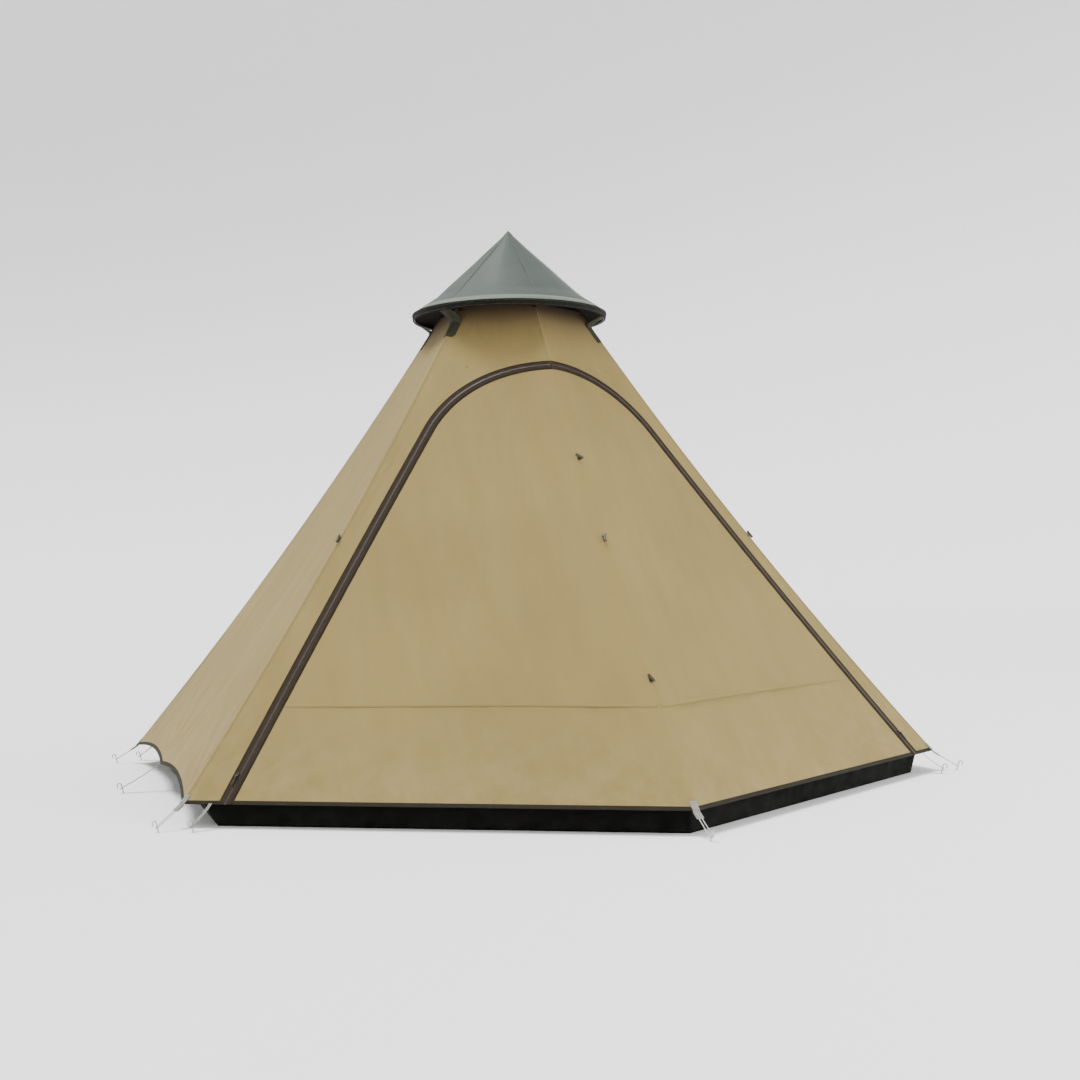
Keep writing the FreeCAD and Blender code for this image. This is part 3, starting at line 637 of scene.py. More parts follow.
def door_sheet(name, end, seed):
    """A whole door: one sheet from zip to zip, bent softly over the middle ridge."""
    rows, columns = 150, 181
    top = ARCH_Z + ARCH_R - DOOR_GAP
    heights = door_heights(top, rows)
    flip = -1 if end == "back" else 1
    corner = on_ridge(0, HEM_Z)
    feet = [Vector((s * arch_half(HEM_Z), -HEM_R * 0.56, HEM_Z)) for s in (-1, 1)]
    flat = []
    shaped = []
    uvs = []
    for z in heights:
        width = arch_half(z, -DOOR_GAP)
        crest = crest_radius(z)
        for j in range(columns):
            reach = 2 * j / (columns - 1) - 1
            x = width * copysign(abs(reach) ** 1.25, reach)
            bend = hypot(x, crest)
            point = on_face(30, side_of(abs(x), z), z)
            base = Vector((copysign(point.x, x), point.y + TAN_HALF * (bend - abs(x)), z))
            turn = 30 * x / bend
            edge = max(0.0, min(-past_arch(abs(x), z) - FLAT_AT_ZIP, z - HEM_Z - BINDING_H))
            rise = (z - HEM_Z) / (top - HEM_Z)
            lift = slack(base, abs(reach), rise, edge, [corner, *feet], seed + (20 if reach < 0 else 0))
            lift *= smooth(abs(z - DOOR_SEAM_Z) / 0.02 + 0.25) * smooth(abs(x) / 0.15)
            formed = base + normal_at(turn, z) * lift
            flat.append(Vector((base.x, flip * base.y, z)))
            shaped.append(Vector((formed.x, flip * formed.y, formed.z)))
            uvs.append((x / COS_HALF, slope_length(z)))
    faces = grid_faces(rows, columns)
    if end == "back":
        faces = [tuple(reversed(face)) for face in faces]
    piece = thicken(put(name, shaped, faces, "fly", uvs), CLOTH_T)
    return piece, cloth_area(flat, faces)


def surround_panel(name, angle, seed):
    """Fly beside and above a door, from the zip out to the next ridge."""
    rows, columns = 170, 40
    top = ARCH_Z + ARCH_R + DOOR_GAP
    above = 26
    heights = door_heights(top, rows - above)
    heights += [top + (TOP_Z - top) * (i + 1) / above for i in range(above)]
    hand = -1 if angle in MIRRORED else 1
    outer = angle + 30 * hand

    def where(u, v):
        z = heights[round(v * (rows - 1))]
        inner = arch_half(z, DOOR_GAP) if z < top else 0.0
        width = face_n(z) - inner
        x = inner + u * width
        side = side_of(x, z)
        to_ridge = x if z >= top else TOP_R
        edge = min(past_arch(x, z) - FLAT_AT_ZIP, min(to_ridge, (1 - u) * width) - FLAT_AT_RIDGE)
        edge = max(0.0, min(edge, z - HEM_Z - BINDING_H, TOP_Z - z + 0.01))
        return side * hand, z, edge, x / face_n(z)

    return cloth_panel(name, angle, rows, columns, where, [on_ridge(outer, HEM_Z)], seed)


def side_panel(name, angle, seed):
    """Whole side face, with its scalloped hem."""
    rows, columns = 150, 110

    def where(u, v):
        low = hem_height((2 * u - 1) * HEM_R / 2)
        z = low + (TOP_Z - low) * v
        half = face_n(z) * TAN_HALF
        side = (2 * u - 1) * half
        edge = min(half - abs(side), z - low - BINDING_H, TOP_Z - z + 0.01)
        return side, z, max(0.0, edge), u

    corners = [on_ridge(angle - 30, HEM_Z), on_ridge(angle + 30, HEM_Z), on_face(angle, 0, HEM_MID_Z)]
    return cloth_panel(name, angle, rows, columns, where, corners, seed)


def strip(name, rows, look, body, uv_width):
    """Narrow band of cloth or tape: rows is a list of rows of points, all as long."""
    columns = len(rows[0])
    verts = [p for row in rows for p in row]
    uvs = []
    along = 0.0
    for i, row in enumerate(rows):
        if i:
            along += (row[0] - rows[i - 1][0]).length
        uvs += [(uv_width * j / (columns - 1), along) for j in range(columns)]
    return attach(put(name, verts, grid_faces(len(rows), columns), look, uvs), body)


def stitches(name, lines, look, body, pitch=0.0055):
    """Rows of thread: a short raised bead for each stitch along each line of (point, normal)."""
    verts = []
    faces = []
    uvs = []
    for line in lines:
        walked = 0.0
        for (a, normal), (b, _) in zip(line, line[1:]):
            gap = (b - a).length
            if gap < 1e-6:
                continue
            along = (b - a) / gap
            across = along.cross(normal).normalized() * THREAD_R
            while walked < gap:
                middle = a + along * walked
                half = along * pitch * 0.33
                lift = normal * THREAD_R * 1.5
                start = len(verts)
                verts += [middle - half, middle + across * 0.9, middle + half, middle - across * 0.9]
                verts += [middle + lift - half * 0.4, middle + lift + half * 0.4]
                quad = [(0, 1, 4), (1, 5, 4), (1, 2, 5), (2, 3, 5), (3, 4, 5), (3, 0, 4), (0, 3, 2, 1)]
                faces += [tuple(start + k for k in face) for face in quad]
                uvs += [(0, walked)] * 6
                walked += pitch
            walked -= gap
    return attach(put(name, verts, faces, look, uvs), body)


def sewn_strip(name, rows, lines, look, thread, body, uv_width=0.02):
    """A strip and its rows of thread."""
    return strip(name, rows, look, body, uv_width), stitches(name + "_thread", lines, thread, body)


def line_on_ridge(angle, low, high, side, lift):
    count = max(2, int((high - low) / 0.02))
    line = []
    for i in range(count + 1):
        z = low + (high - low) * i / count
        face = angle + (30 if side >= 0 else -30)
        line.append((on_ridge(angle, z, side, lift), normal_at(face, z)))
    return line


def ridge_seam(name, angle, low, high):
    """Felled seam over a ridge: a folded cover strip with a row of thread along each edge."""
    profile = [(-0.009, 0.0002), (-0.0085, 0.0012), (-0.004, 0.0014), (0.0, 0.0022)]
    profile += [(-s, lift) for s, lift in reversed(profile[:-1])]
    rows = []
    count = int((high - low) / 0.015)
    for i in range(count + 1):
        z = low + (high - low) * i / count
        rows.append([on_ridge(angle, z, s, lift) for s, lift in profile])
    lines = [line_on_ridge(angle, low + 0.004, high - 0.004, s, 0.0014) for s in (-0.0065, 0.0065)]
    sewn_strip(name, rows, lines, "fly", "thread", "root")


# ---- zips


def arch_path(step=0.01):
    """Half the zip's line, from its foot to the ridge: stations (x, z, dx, dz), with the outward
    direction (dx, dz)."""
    tangent_x = ARCH_R / LEG_NORM
    tangent_z = ARCH_Z + ARCH_R * LEG_RUN / LEG_NORM
    length = (tangent_z - HEM_Z) * LEG_NORM
    count = int(length / step)
    stations = []
    for i in range(count):
        z = HEM_Z + (tangent_z - HEM_Z) * i / count
        stations.append((tangent_x + (tangent_z - z) * LEG_RUN, z, 1 / LEG_NORM, LEG_RUN / LEG_NORM))
    start = asin(LEG_RUN / LEG_NORM)
    turns = int(ARCH_R * (pi / 2 - start) / step)
    for i in range(turns + 1):
        turn = start + (pi / 2 - start) * i / turns
        dx, dz = cos(turn), sin(turn)
        stations.append((ARCH_R * dx, ARCH_Z + ARCH_R * dz, dx, dz))
    return stations


def on_arch(end, hand, station, offset, lift):
    """Point on a door face, offset from the zip's line. hand is 1 right of the ridge, -1 left."""
    x, z, dx, dz = station
    z = max(HEM_Z, z + dz * offset)
    x = max(0.0, x + dx * offset)
    point = on_face(30, side_of(x, z), z, lift)
    point.x *= hand
    if end == "back":
        point.y = -point.y
    return point


def arch_normal(end, hand, z):
    normal = normal_at(30, z)
    return Vector((normal.x * hand, -normal.y if end == "back" else normal.y, normal.z))


def zip_band(end, body, sign):
    """Half of a zip: its tape, its coil's teeth and its stitching, on one side of the line."""
    prefix = "%s_%s" % (end, "fly_zip" if sign > 0 else "door_zip")
    path = arch_path()
    stations = path[:-1] + [(0.0, path[-1][1], 0.0, 1.0)]
    profile = [(TEETH_GAP, 0.0001), (0.0014, 0.0004), (0.0032, TAPE_T)]
    profile += [(0.0105, TAPE_T * 1.1), (0.0185, TAPE_T), (TAPE_W, 0.0002)]
    made = []
    lines = []
    for hand, label in ((1, "right"), (-1, "left")):
        rows = [[on_arch(end, hand, station, sign * d, lift) for d, lift in profile] for station in stations]
        made.append(strip("%s_tape_%s" % (prefix, label), rows, "tape", body, uv_width=TAPE_W))
        for d in TAPE_STITCHING:
            line = []
            for station in path:
                point = on_arch(end, hand, station, sign * d, TAPE_T * 1.05)
                line.append((point, arch_normal(end, hand, station[1])))
            lines.append(line)
    made.append(stitches(prefix + "_thread", lines, "dark_thread", body))
    made.append(zip_teeth(end, body, sign, prefix + "_coil"))
    return made


def zip_teeth(end, body, sign, name):
    """Coil teeth: a rounded loop at each pitch, the two halves half a pitch apart."""
    section = ((-0.0009, 0.0006, 0.0017), (0.0004, 0.0002, 0.0026), (0.003, 0.0006, 0.0022))
    quads = [(0, 1, 5, 4), (1, 3, 7, 5), (3, 2, 6, 7), (2, 0, 4, 6)]
    quads += [tuple(k + 4 for k in quad) for quad in quads] + [(0, 2, 3, 1), (8, 9, 11, 10)]
    fine = arch_path(TEETH_PITCH)
    verts = []
    faces = []
    for hand in (1, -1):
        for station, ahead in zip(fine[:-2], fine[1:]):
            here = station if sign > 0 else tuple((p + q) / 2 for p, q in zip(station, ahead))
            run = (on_arch(end, hand, ahead, 0, 0) - on_arch(end, hand, station, 0, 0)).normalized()
            half = run * TEETH_PITCH * 0.21
            start = len(verts)
            for d, low, high in section:
                for side in (-1, 1):
                    verts += [on_arch(end, hand, here, sign * d, lift) + half * side for lift in (low, high)]
            faces += [tuple(start + k for k in quad) for quad in quads]
    uvs = [(v.x, v.z) for v in verts]
    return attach(put(name, verts, faces, "coil", uvs, rounded=False), body)


# ---- hems and seams


def hem(name, points, body):
    """Binding folded over an edge, with its thread. points is a list of (face angle, side, z)."""
    profile = [(BINDING_H, 0.0002), (BINDING_H * 0.9, BINDING_LIFT), (0.001, BINDING_LIFT)]
    profile += [(-0.0012, 0.0002), (0.001, -0.0022), (BINDING_H, -0.0016)]
    rows = [[on_face(angle, side, z + up, lift) for up, lift in profile] for angle, side, z in points]
    line = [(on_face(a, s, z + 0.0085, 0.0012), normal_at(a, z)) for a, s, z in points]
    return sewn_strip(name, rows, [line], "binding", "dark_thread", body, 0.03)


def side_hem(name, angle):
    count = 120
    points = []
    for i in range(count + 1):
        reach = -1 + 2 * i / count
        z = hem_height(reach * (HEM_R / 2))
        points.append((angle, reach * face_n(z) * TAN_HALF, z))
    return hem(name, points, "root")


def door_hem(name, angle, low_x, high_x, body):
    hand = -1 if angle in MIRRORED else 1
    count = max(8, int((high_x - low_x) / 0.02))
    points = []
    for i in range(count + 1):
        x = low_x + (high_x - low_x) * i / count
        points.append((angle, hand * side_of(x, HEM_Z), HEM_Z))
    return hem(name, points, body)


def door_seam(name, angle, body):
    """Felled seam across a door where its two widths of cloth are joined."""
    hand = -1 if angle in MIRRORED else 1
    width = arch_half(DOOR_SEAM_Z, -TAPE_W)
    profile = ((-0.006, 0.0002), (-0.005, FELL_LIFT), (0.005, FELL_LIFT), (0.006, 0.0002))
    rows = []
    line = []
    count = 60
    for i in range(count + 1):
        x = 0.008 + (width - 0.01) * i / count
        side = hand * side_of(x, DOOR_SEAM_Z)
        z = DOOR_SEAM_Z + 0.004 * sin(x * 2.6 + 0.4)
        rows.append([on_face(angle, side, z + d, lift) for d, lift in profile])
        line.append((on_face(angle, side, z - 0.0035, FELL_LIFT), normal_at(angle, z)))
    return sewn_strip(name, rows, [line], "fly", "thread", body, 0.014)


# ---- fly and doors


def make_fly():
    for name, angle, seed in (("fly_side_right", 90, 3), ("fly_side_left", 270, 8)):
        piece, area = side_panel(name + "_cloth", angle, seed)
        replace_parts(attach(piece, "root"), name)
        edge = side_hem(name + "_hem", angle)
        if angle == 90:
            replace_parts(edge[0], "fly_hem_binding")
    for name, angle, seed in (
        ("fly_front_right", 30, 1),
        ("fly_front_left", 330, 2),
        ("fly_back_left", 210, 5),
        ("fly_back_right", 150, 6),
    ):
        piece, area = surround_panel(name + "_cloth", angle, seed)
        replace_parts(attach(piece, "root"), name)
        edge = door_hem(name + "_hem", angle, arch_half(HEM_Z, DOOR_GAP), HEM_R * COS_HALF, "root")
    for label, angle in CORNERS:
        ridge_seam("ridge_seam_" + label, angle, HEM_Z + 0.002, TOP_Z - 0.002)
    for angle, end in ((0, "front"), (180, "back")):
        top = ARCH_Z + ARCH_R + TAPE_W
        ridge_seam("ridge_seam_%s_top" % end, angle, top + 0.002, TOP_Z - 0.002)


def make_doors():
    for end, angles in (("front", (30, 330)), ("back", (150, 210))):
        body = end + "_door"
        piece, area = door_sheet(body + "_sheet", end, 11 + angles[0] / 30)
        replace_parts(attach(piece, body), body + "_right", body + "_left")
        extras = []
        for label, angle in zip(("right", "left"), angles):
            name = "%s_%s" % (body, label)
            extras += door_hem(name + "_hem", angle, 0.0, arch_half(HEM_Z, -DOOR_GAP), body)
            extras += door_seam(name + "_seam", angle, body)
        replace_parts(extras[0], body + "_hem_binding")


def make_zips():
    for end in ("front", "back"):
        fixed = zip_band(end, "root", 1)
        moving = zip_band(end, end + "_door", -1)
        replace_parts(fixed[0], end + "_zip_tape")
        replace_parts(moving[0], end + "_door_zip_tape")


# ---- cap

# Turned profiles (r, z) of the cap
CAP_PROFILE = [(0.0, 2.4295), (0.01, 2.4185), (0.024, 2.4015)]
CAP_PROFILE += [(0.333, 2.1128), (0.392, 2.0735), (0.438, 2.04), (0.4335, 2.0168)]
HEM_PROFILE = [(0.4384, 2.0432), (0.4396, 2.0425), (0.4404, 2.0395), (0.4362, 2.0172)]
HEM_PROFILE += [(0.4346, 2.016), (0.433, 2.017), (0.4372, 2.0395)]
FACING_PROFILE = [(0.402, 2.0664), (0.403, 2.0668), (0.42, 2.0545)]
FACING_PROFILE += [(0.4386, 2.0409), (0.4384, 2.0398), (0.42, 2.0532)]
CAP_STITCH_LINES = [(0.4062, 2.0645), (0.4401, 2.0368), (0.4372, 2.0202)]
CAP_TURNS = 240


def profile_at(profile, t):
    """Point a share t along a polyline of (r, z)."""
    lengths = [dist(a, b) for a, b in zip(profile, profile[1:])]
    left = t * sum(lengths)
    for length, a, b in zip(lengths, profile, profile[1:]):
        if left <= length or b == profile[-1]:
            share = min(1.0, left / length)
            return a[0] + (b[0] - a[0]) * share, a[1] + (b[1] - a[1]) * share
        left -= length


def cap_surface(name, look, inset):
    """Cone sewn from six gores: slack between the seams, drawn tight at the apex and the hoop."""
    rows = 70
    verts = []
    uvs = []
    for i in range(rows):
        t = i / (rows - 1)
        r, z = profile_at(CAP_PROFILE, t)
        for k in range(CAP_TURNS + 1):
            angle = 2 * pi * k / CAP_TURNS
            wave = abs(sin(3 * (angle + pi / 6)))
            dip = 0.0022 * wave * sin(pi * min(1.0, t * 1.12)) if t * 1.12 < 1 else 0.0
            crease = 0.0014 * noise.noise(Vector((cos(angle) * 3.0, sin(angle) * 3.0, t * 7.0)))
            crease *= sin(pi * t)
            shrink = max(0.0, r - inset - dip * 0.67 + crease)
            drop = z - inset * 0.9 - dip * 0.74 + crease if i else z - inset * 0.9
            verts.append(Vector((shrink * sin(angle), -shrink * cos(angle), drop)))
            uvs.append((angle * 0.3, t * 0.62))
    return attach(put(name, verts, grid_faces(rows, CAP_TURNS + 1), look, uvs), "cap")


def cap_gore_seams():
    seams = []
    lines = []
    count = 45
    for number, angle in enumerate(RIDGES, 1):
        out, along = ridge_axes(angle)
        normal = (out * 0.68 + UP * 0.73).normalized()
        rows = []
        marks = []
        for i in range(count + 1):
            r, z = profile_at(CAP_PROFILE, 0.03 + 0.9 * i / count)
            centre = out * r + UP * z
            width = min(0.005, 0.001 + r * 0.05)
            rows.append([
                centre - along * width,
                centre - along * width * 0.8 + normal * GORE_LIFT,
                centre + along * width * 0.8 + normal * GORE_LIFT,
                centre + along * width,
            ])
            marks.append((centre + normal * 0.0008, normal))
        lines.append(marks)
        seams.append(strip("cap_gore_seam_%d" % number, rows, "cap", "cap", uv_width=0.01))
    stitches("cap_gore_thread", lines, "thread", "cap")
    return seams


def turned_ring(name, profile, look, body="cap", turns=CAP_TURNS):
    """Closed ring: a closed (r, z) profile turned about the pole."""
    count = len(profile)
    verts = []
    uvs = []
    for k in range(turns + 1):
        angle = 2 * pi * k / turns
        for j, (r, z) in enumerate(profile + profile[:1]):
            verts.append(Vector((r * sin(angle), -r * cos(angle), z)))
            uvs.append((j * 0.012, angle * 0.43))
    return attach(put(name, verts, grid_faces(turns + 1, count + 1), look, uvs), body)


def make_cap():
    shell = cap_surface("cap_cone_cloth", "cap", 0.0)
    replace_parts(shell, "cap_shell")
    seams = cap_gore_seams()
    lining = cap_surface("cap_lining", "lining", 0.0022)
    band = turned_ring("cap_hem", HEM_PROFILE, "cap_hem")
    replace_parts(band, "cap_hem_band")
    turned_ring("cap_rim_facing", FACING_PROFILE, "cap_band")
    lines = []
    for r, z in CAP_STITCH_LINES:
        line = []
        for k in range(CAP_TURNS + 1):
            angle = 2 * pi * k / CAP_TURNS
            out = Vector((sin(angle), -cos(angle), 0))
            line.append((out * r + UP * z, out))
        lines.append(line)
    stitches("cap_hem_thread", lines, "thread", "cap")


# ---- floor tub


def tub_corners(n, side_set):
    """Corners of the tub's plan, its walls n from the pole and the two side walls side_set less."""
    side_x = n - side_set
    side_y = (n + side_set) / (2 * COS_HALF)
    front_y = n / COS_HALF
    right = [Vector((0, -front_y, 0)), Vector((side_x, -side_y, 0)), Vector((side_x, side_y, 0))]
    return right + [-corner for corner in right]


def make_tub():
    wall_n, _, wall_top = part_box("tub_wall")[1]
    floor_n, _, floor_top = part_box("tub_floor")[1]
    inset = 0.001
    low = tub_corners(wall_n - inset, wall_n - floor_n)
    high = tub_corners(wall_n - inset, 0)
    per_side, rows = 90, 16
    verts = []
    uvs = []
    for i in range(rows):
        v = i / (rows - 1)
        for k in range(6):
            nxt = (k + 1) % 6
            a = low[k] * (1 - v) + high[k] * v
            b = low[nxt] * (1 - v) + high[nxt] * v
            out = (low[k] + low[nxt]).normalized()
            for j in range(per_side):
                u = j / per_side
                hold = smooth(min(u, 1 - u) / 0.06) * sin(pi * v)
                wave = noise.noise(Vector((k * 5.0 + u * 22.0, v * 1.3, 2.0)))
                wave += 0.5 * noise.noise(Vector((k * 5.0 + u * 61.0, v * 3.0, 7.0)))
                place = a * (1 - u) + b * u + out * (-0.0035 + 0.004 * wave) * hold
                verts.append(place + UP * (0.0006 + (wall_top - 0.0006) * v))
                uvs.append(((k + u) * wall_n / COS_HALF, v * wall_top))
    faces = grid_faces(rows, per_side * 6, True)
    wall = thicken(put("tub_wall_sheet", verts, faces, "tub", uvs), 0.0006)
    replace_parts(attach(wall, "root"), "tub_wall")
    make_floor(tub_corners(wall_n - 0.0026, wall_n - floor_n), floor_top)


def make_floor(corners, floor_top):
    rings, per_side = 70, 24
    verts = [Vector((0, 0, floor_top))]
    uvs = [(0, 0)]
    for i in range(1, rings + 1):
        share = i / rings
        for k in range(6):
            for j in range(per_side):
                u = j / per_side
                p = (corners[k] * (1 - u) + corners[(k + 1) % 6] * u) * share
                ripple = noise.noise(p * 2.1) + 0.5 * noise.noise(p * 6.3)
                hold = smooth((1 - share) / 0.08) * smooth((p.length - 0.16) / 0.15)
                verts.append(p + UP * (floor_top + 0.003 * max(0.0, ripple) * hold))
                uvs.append((p.x, p.y))
    ring = per_side * 6
    faces = [(0, 1 + j, 1 + (j + 1) % ring) for j in range(ring)]
    faces += [(a + 1, d + 1, c + 1, b + 1) for a, b, c, d in grid_faces(rings, ring, True)]
    floor = thicken(put("tub_floor_sheet", verts, faces, "tub", uvs), 0.0008)
    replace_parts(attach(floor, "root"), "tub_floor")


# ---- webbing, cords and hardware


def web_strap(path, across, width, thickness, drape):
    """Closed flat strap along a path of (point, normal), as rows of points.

    drape says for each end of the path how far the strap bends down over a ridge under it.
    """
    section = [(-1, 0), (-0.95, 0.5), (-0.5, 0.47), (0, 0.47), (0.5, 0.47), (0.95, 0.5)]
    section += [(-w, -h) for w, h in section]
    rows = []
    for i, (point, normal) in enumerate(path):
        share = i / (len(path) - 1)
        bend = drape[0] * (1 - share) + drape[1] * share
        row = []
        for w, h in section + section[:1]:
            drop = bend * TAN_HALF * hypot(w * width / 2, 0.002)
            row.append(point + across * (w * width / 2) + normal * (h * thickness - drop))
        rows.append(row)
    return rows


def rounded_path(corners, step, passes=3):
    """Points along a polyline, its corners softened as a folded strap's are."""
    points = []
    for a, b in zip(corners, corners[1:]):
        count = max(1, round((b - a).length / step))
        points += [a.lerp(b, i / count) for i in range(count)]
    points.append(corners[-1])
    for _ in range(passes):
        inner = [(p + q * 2 + r) / 4 for p, q, r in zip(points, points[1:], points[2:])]
        points = [points[0], *inner, points[-1]]
    return points


def with_normals(points, across):
    path = []
    for i, point in enumerate(points):
        ahead = points[min(i + 1, len(points) - 1)] - points[max(i - 1, 0)]
        path.append((point, ahead.cross(across).normalized()))
    return path


def web_piece(name, straps, look, body):
    """One object from several straps, each a list of rows as long as each other."""
    verts = []
    faces = []
    uvs = []
    for rows in straps:
        start = len(verts)
        columns = len(rows[0])
        along = 0.0
        for i, row in enumerate(rows):
            if i:
                along += (row[0] - rows[i - 1][0]).length
            verts += row
            uvs += [(0.004 * j, along) for j in range(columns)]
        faces += [tuple(start + k for k in face) for face in grid_faces(len(rows), columns)]
        last = start + (len(rows) - 1) * columns
        faces.append(tuple(start + k for k in range(columns - 1)))
        faces.append(tuple(last + k for k in reversed(range(columns - 1))))
    piece = put(name, verts, faces, look, uvs)
    bmesh_clean(piece)
    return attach(piece, body)


def edge_stitches(path, across, width, thickness, first, last, drape=0.0):
    """Two stitch lines along a strap, from path point first to path point last."""
    lines = []
    reach = width * 0.38
    lift = thickness * 0.5 - drape * TAN_HALF * reach
    for side in (-1, 1):
        lines.append([(p + across * (side * reach) + n * lift, n) for p, n in path[first:last]])
    return lines


# Corner tabs and the cord loops on them: (r, z) points in a ridge's plane
TAB_START = (1.82, 0.084)
TAB_LENGTH = 0.04
TAB_NECK = 0.006
TAB_END = 0.003
TAB_W = 0.026
TAB_T = 0.0016
TAB_LAP = 0.03
TAB_OUTER_LIFT = 0.0046
TAB_INNER_LIFT = 0.0028
TAB_HALF_GAP = 0.0019
LOOP_WRAP = (1.93, 0.018)
LOOP_R = 0.0055
CORD_R = 0.00175
WEB_PITCH = 0.0032

# Crown straps
STRAP_W = 0.022
STRAP_T = 0.0014
STRAP_LAP = 0.024
STRAP_PITCH = 0.004

# Cap tabs
CAP_TAB_W = 0.07
CAP_TAB_T = 0.0013
CAP_TAB_LOW_Z = 1.905
CAP_TAB_KNEE_Z = 1.975
CAP_TAB_TOP = (0.4297, 2.0178)
LAPPED_LIFT = 0.0036


def beside_pole(out, r, z):
    """Point r from the pole's axis along the unit vector out, and z up."""
    return out * r + UP * z


def tab_line():
    """Length of the line from a tab's start to its cord's wrap, and its direction (dr, dz)."""
    run = LOOP_WRAP[0] - TAB_START[0]
    fall = LOOP_WRAP[1] - TAB_START[1]
    length = hypot(run, fall)
    return length, run / length, fall / length


def corner_tab(angle):
    """Webbing sewn down the ridge's end, folded round the cord and sewn back to itself."""
    out, across = ridge_axes(angle)
    _, dr, dz = tab_line()
    ahead = beside_pole(out, dr, dz)
    above = beside_pole(out, -dz, dr)
    foot = beside_pole(out, *TAB_START)
    lap_z = HEM_Z + TAB_LAP
    outer_z = HEM_Z + 0.005
    inner_z = HEM_Z + 0.003
    corners = [
        beside_pole(out, ridge_r(lap_z) + TAB_OUTER_LIFT, lap_z),
        beside_pole(out, ridge_r(outer_z) + TAB_OUTER_LIFT, outer_z),
        foot + ahead * TAB_NECK + above * TAB_HALF_GAP,
        foot + ahead * (TAB_LENGTH - TAB_END) + above * TAB_HALF_GAP,
        foot + ahead * (TAB_LENGTH + 0.001),
        foot + ahead * (TAB_LENGTH - TAB_END) - above * TAB_HALF_GAP,
        foot + ahead * TAB_NECK - above * 0.001,
        beside_pole(out, ridge_r(inner_z) + TAB_INNER_LIFT, inner_z),
        beside_pole(out, ridge_r(lap_z) + TAB_INNER_LIFT, lap_z),
    ]
    path = with_normals(rounded_path(corners, 0.002, 2), across)
    rows = web_strap(path, across, TAB_W, TAB_T, (0.0, 0.0))
    for i, row in enumerate(rows):
        from_end = min(i, len(rows) - 1 - i) / (len(rows) - 1)
        bend = smooth((0.3 - from_end) / 0.16)
        for k, point in enumerate(row):
            side = abs((point - path[i][0]).dot(across))
            row[k] = point - out * (bend * TAN_HALF * side)
    count = len(path)
    return rows, edge_stitches(path, across, TAB_W, TAB_T, int(count * 0.2), int(count * 0.42))


def make_tabs():
    groups = [
        ("front_door_tab", [0], "front_door", "front_door_tab"),
        ("back_door_tab", [180], "back_door", "back_door_tab"),
        ("corner_tab", [angle for _, angle in CORNERS], "root", "corner_tabs"),
    ]
    for name, angles, body, node in groups:
        made = [corner_tab(angle) for angle in angles]
        piece = web_piece(name + "_web", [rows for rows, _ in made], "strap", body)
        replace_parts(piece, node)
        lines = [line for _, pair in made for line in pair]
        stitches(name + "_stitching", lines, "thread", body, WEB_PITCH)


def crown_straps(hub_r, hub_top):
    """Straps from the hub to the fly's corners, lapped over its outside."""
    straps = []
    lines = []
    end_z = TOP_Z - STRAP_LAP
    for angle in RIDGES:
        out, across = ridge_axes(angle)
        corners = [
            beside_pole(out, hub_r + 0.0002, hub_top - 0.005),
            beside_pole(out, TOP_R + 0.0018, TOP_Z + 0.0028),
            beside_pole(out, ridge_r(end_z) + LAPPED_LIFT, end_z),
        ]
        path = with_normals(rounded_path(corners, 0.006), across)
        count = len(path)
        knee = int(count * (TOP_R - hub_r) / (TOP_R - hub_r + STRAP_LAP))
        rows = web_strap(path[:knee], across, STRAP_W, STRAP_T, (0.0, 0.6))
        rows += web_strap(path[knee:], across, STRAP_W, STRAP_T, (0.6, 0.9))
        straps.append(rows)
        lines += edge_stitches(path, across, STRAP_W, STRAP_T, knee + 1, count - 1, 0.7)
        lines += edge_stitches(path, across, STRAP_W, STRAP_T, 1, 5)
    piece = web_piece("crown_strap_webs", straps, "binding", "root")
    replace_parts(piece, "crown_straps")
    stitches("crown_strap_thread", lines, "thread", "root", STRAP_PITCH)


def vent_mesh(hub_r, hub_z):
    """Insect mesh under the straps, from the fly's top to the hub. It sags between them."""
    rows, per_side = 26, 20
    verts = []
    uvs = []
    for i in range(rows):
        share = i / (rows - 1)
        r = (TOP_R - 0.003) * (1 - share) + (hub_r + 0.0008) * share
        z = (TOP_Z - 0.0006) * (1 - share) + (hub_z + 0.003) * share
        for angle in RIDGES:
            a, b = ridge_axes(angle)[0], ridge_axes(angle + 60)[0]
            for j in range(per_side):
                u = j / per_side
                sag = 0.009 * sin(pi * share) * sin(pi * u)
                flat = (a * (1 - u) + b * u) * r
                wall = flat * (1 - share) + flat.normalized() * r * share
                verts.append(wall + UP * (z - sag))
                uvs.append((wall.x, wall.y))
    faces = grid_faces(rows, per_side * 6, True)
    mesh = thicken(put("vent_mesh_net", verts, faces, "mesh", uvs), 0.0005)
    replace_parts(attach(mesh, "root"), "vent_mesh")


def top_binding():
    """The fly's top hem: outside, over the edge and 30 mm down the inside."""
    half = face_n(TOP_Z) * TAN_HALF
    profile = [(0.01, 0.0003), (0.009, 0.0012), (0.0005, 0.0012)]
    profile += [(-0.0006, 0.0), (0.0005, -0.0022), (0.03, -0.002)]
    rows = []
    line = []
    for face in FACES:
        for i in range(25):
            side = half * (-1 + i / 12)
            rows.append([on_face(face, side, TOP_Z - down, lift) for down, lift in profile])
            line.append((on_face(face, side, TOP_Z - 0.007, 0.0013), normal_at(face, TOP_Z)))
    band = strip("fly_top_binding", rows, "binding", "root", uv_width=0.045)
    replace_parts(band, "fly_top_band")
    stitches("fly_top_thread", [line], "dark_thread", "root")


def make_crown():
    (_, _, hub_z), (hub_r, _, hub_top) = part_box("crown_hub")
    crown_straps(hub_r, hub_top)
    vent_mesh(hub_r, hub_z)
    top_binding()


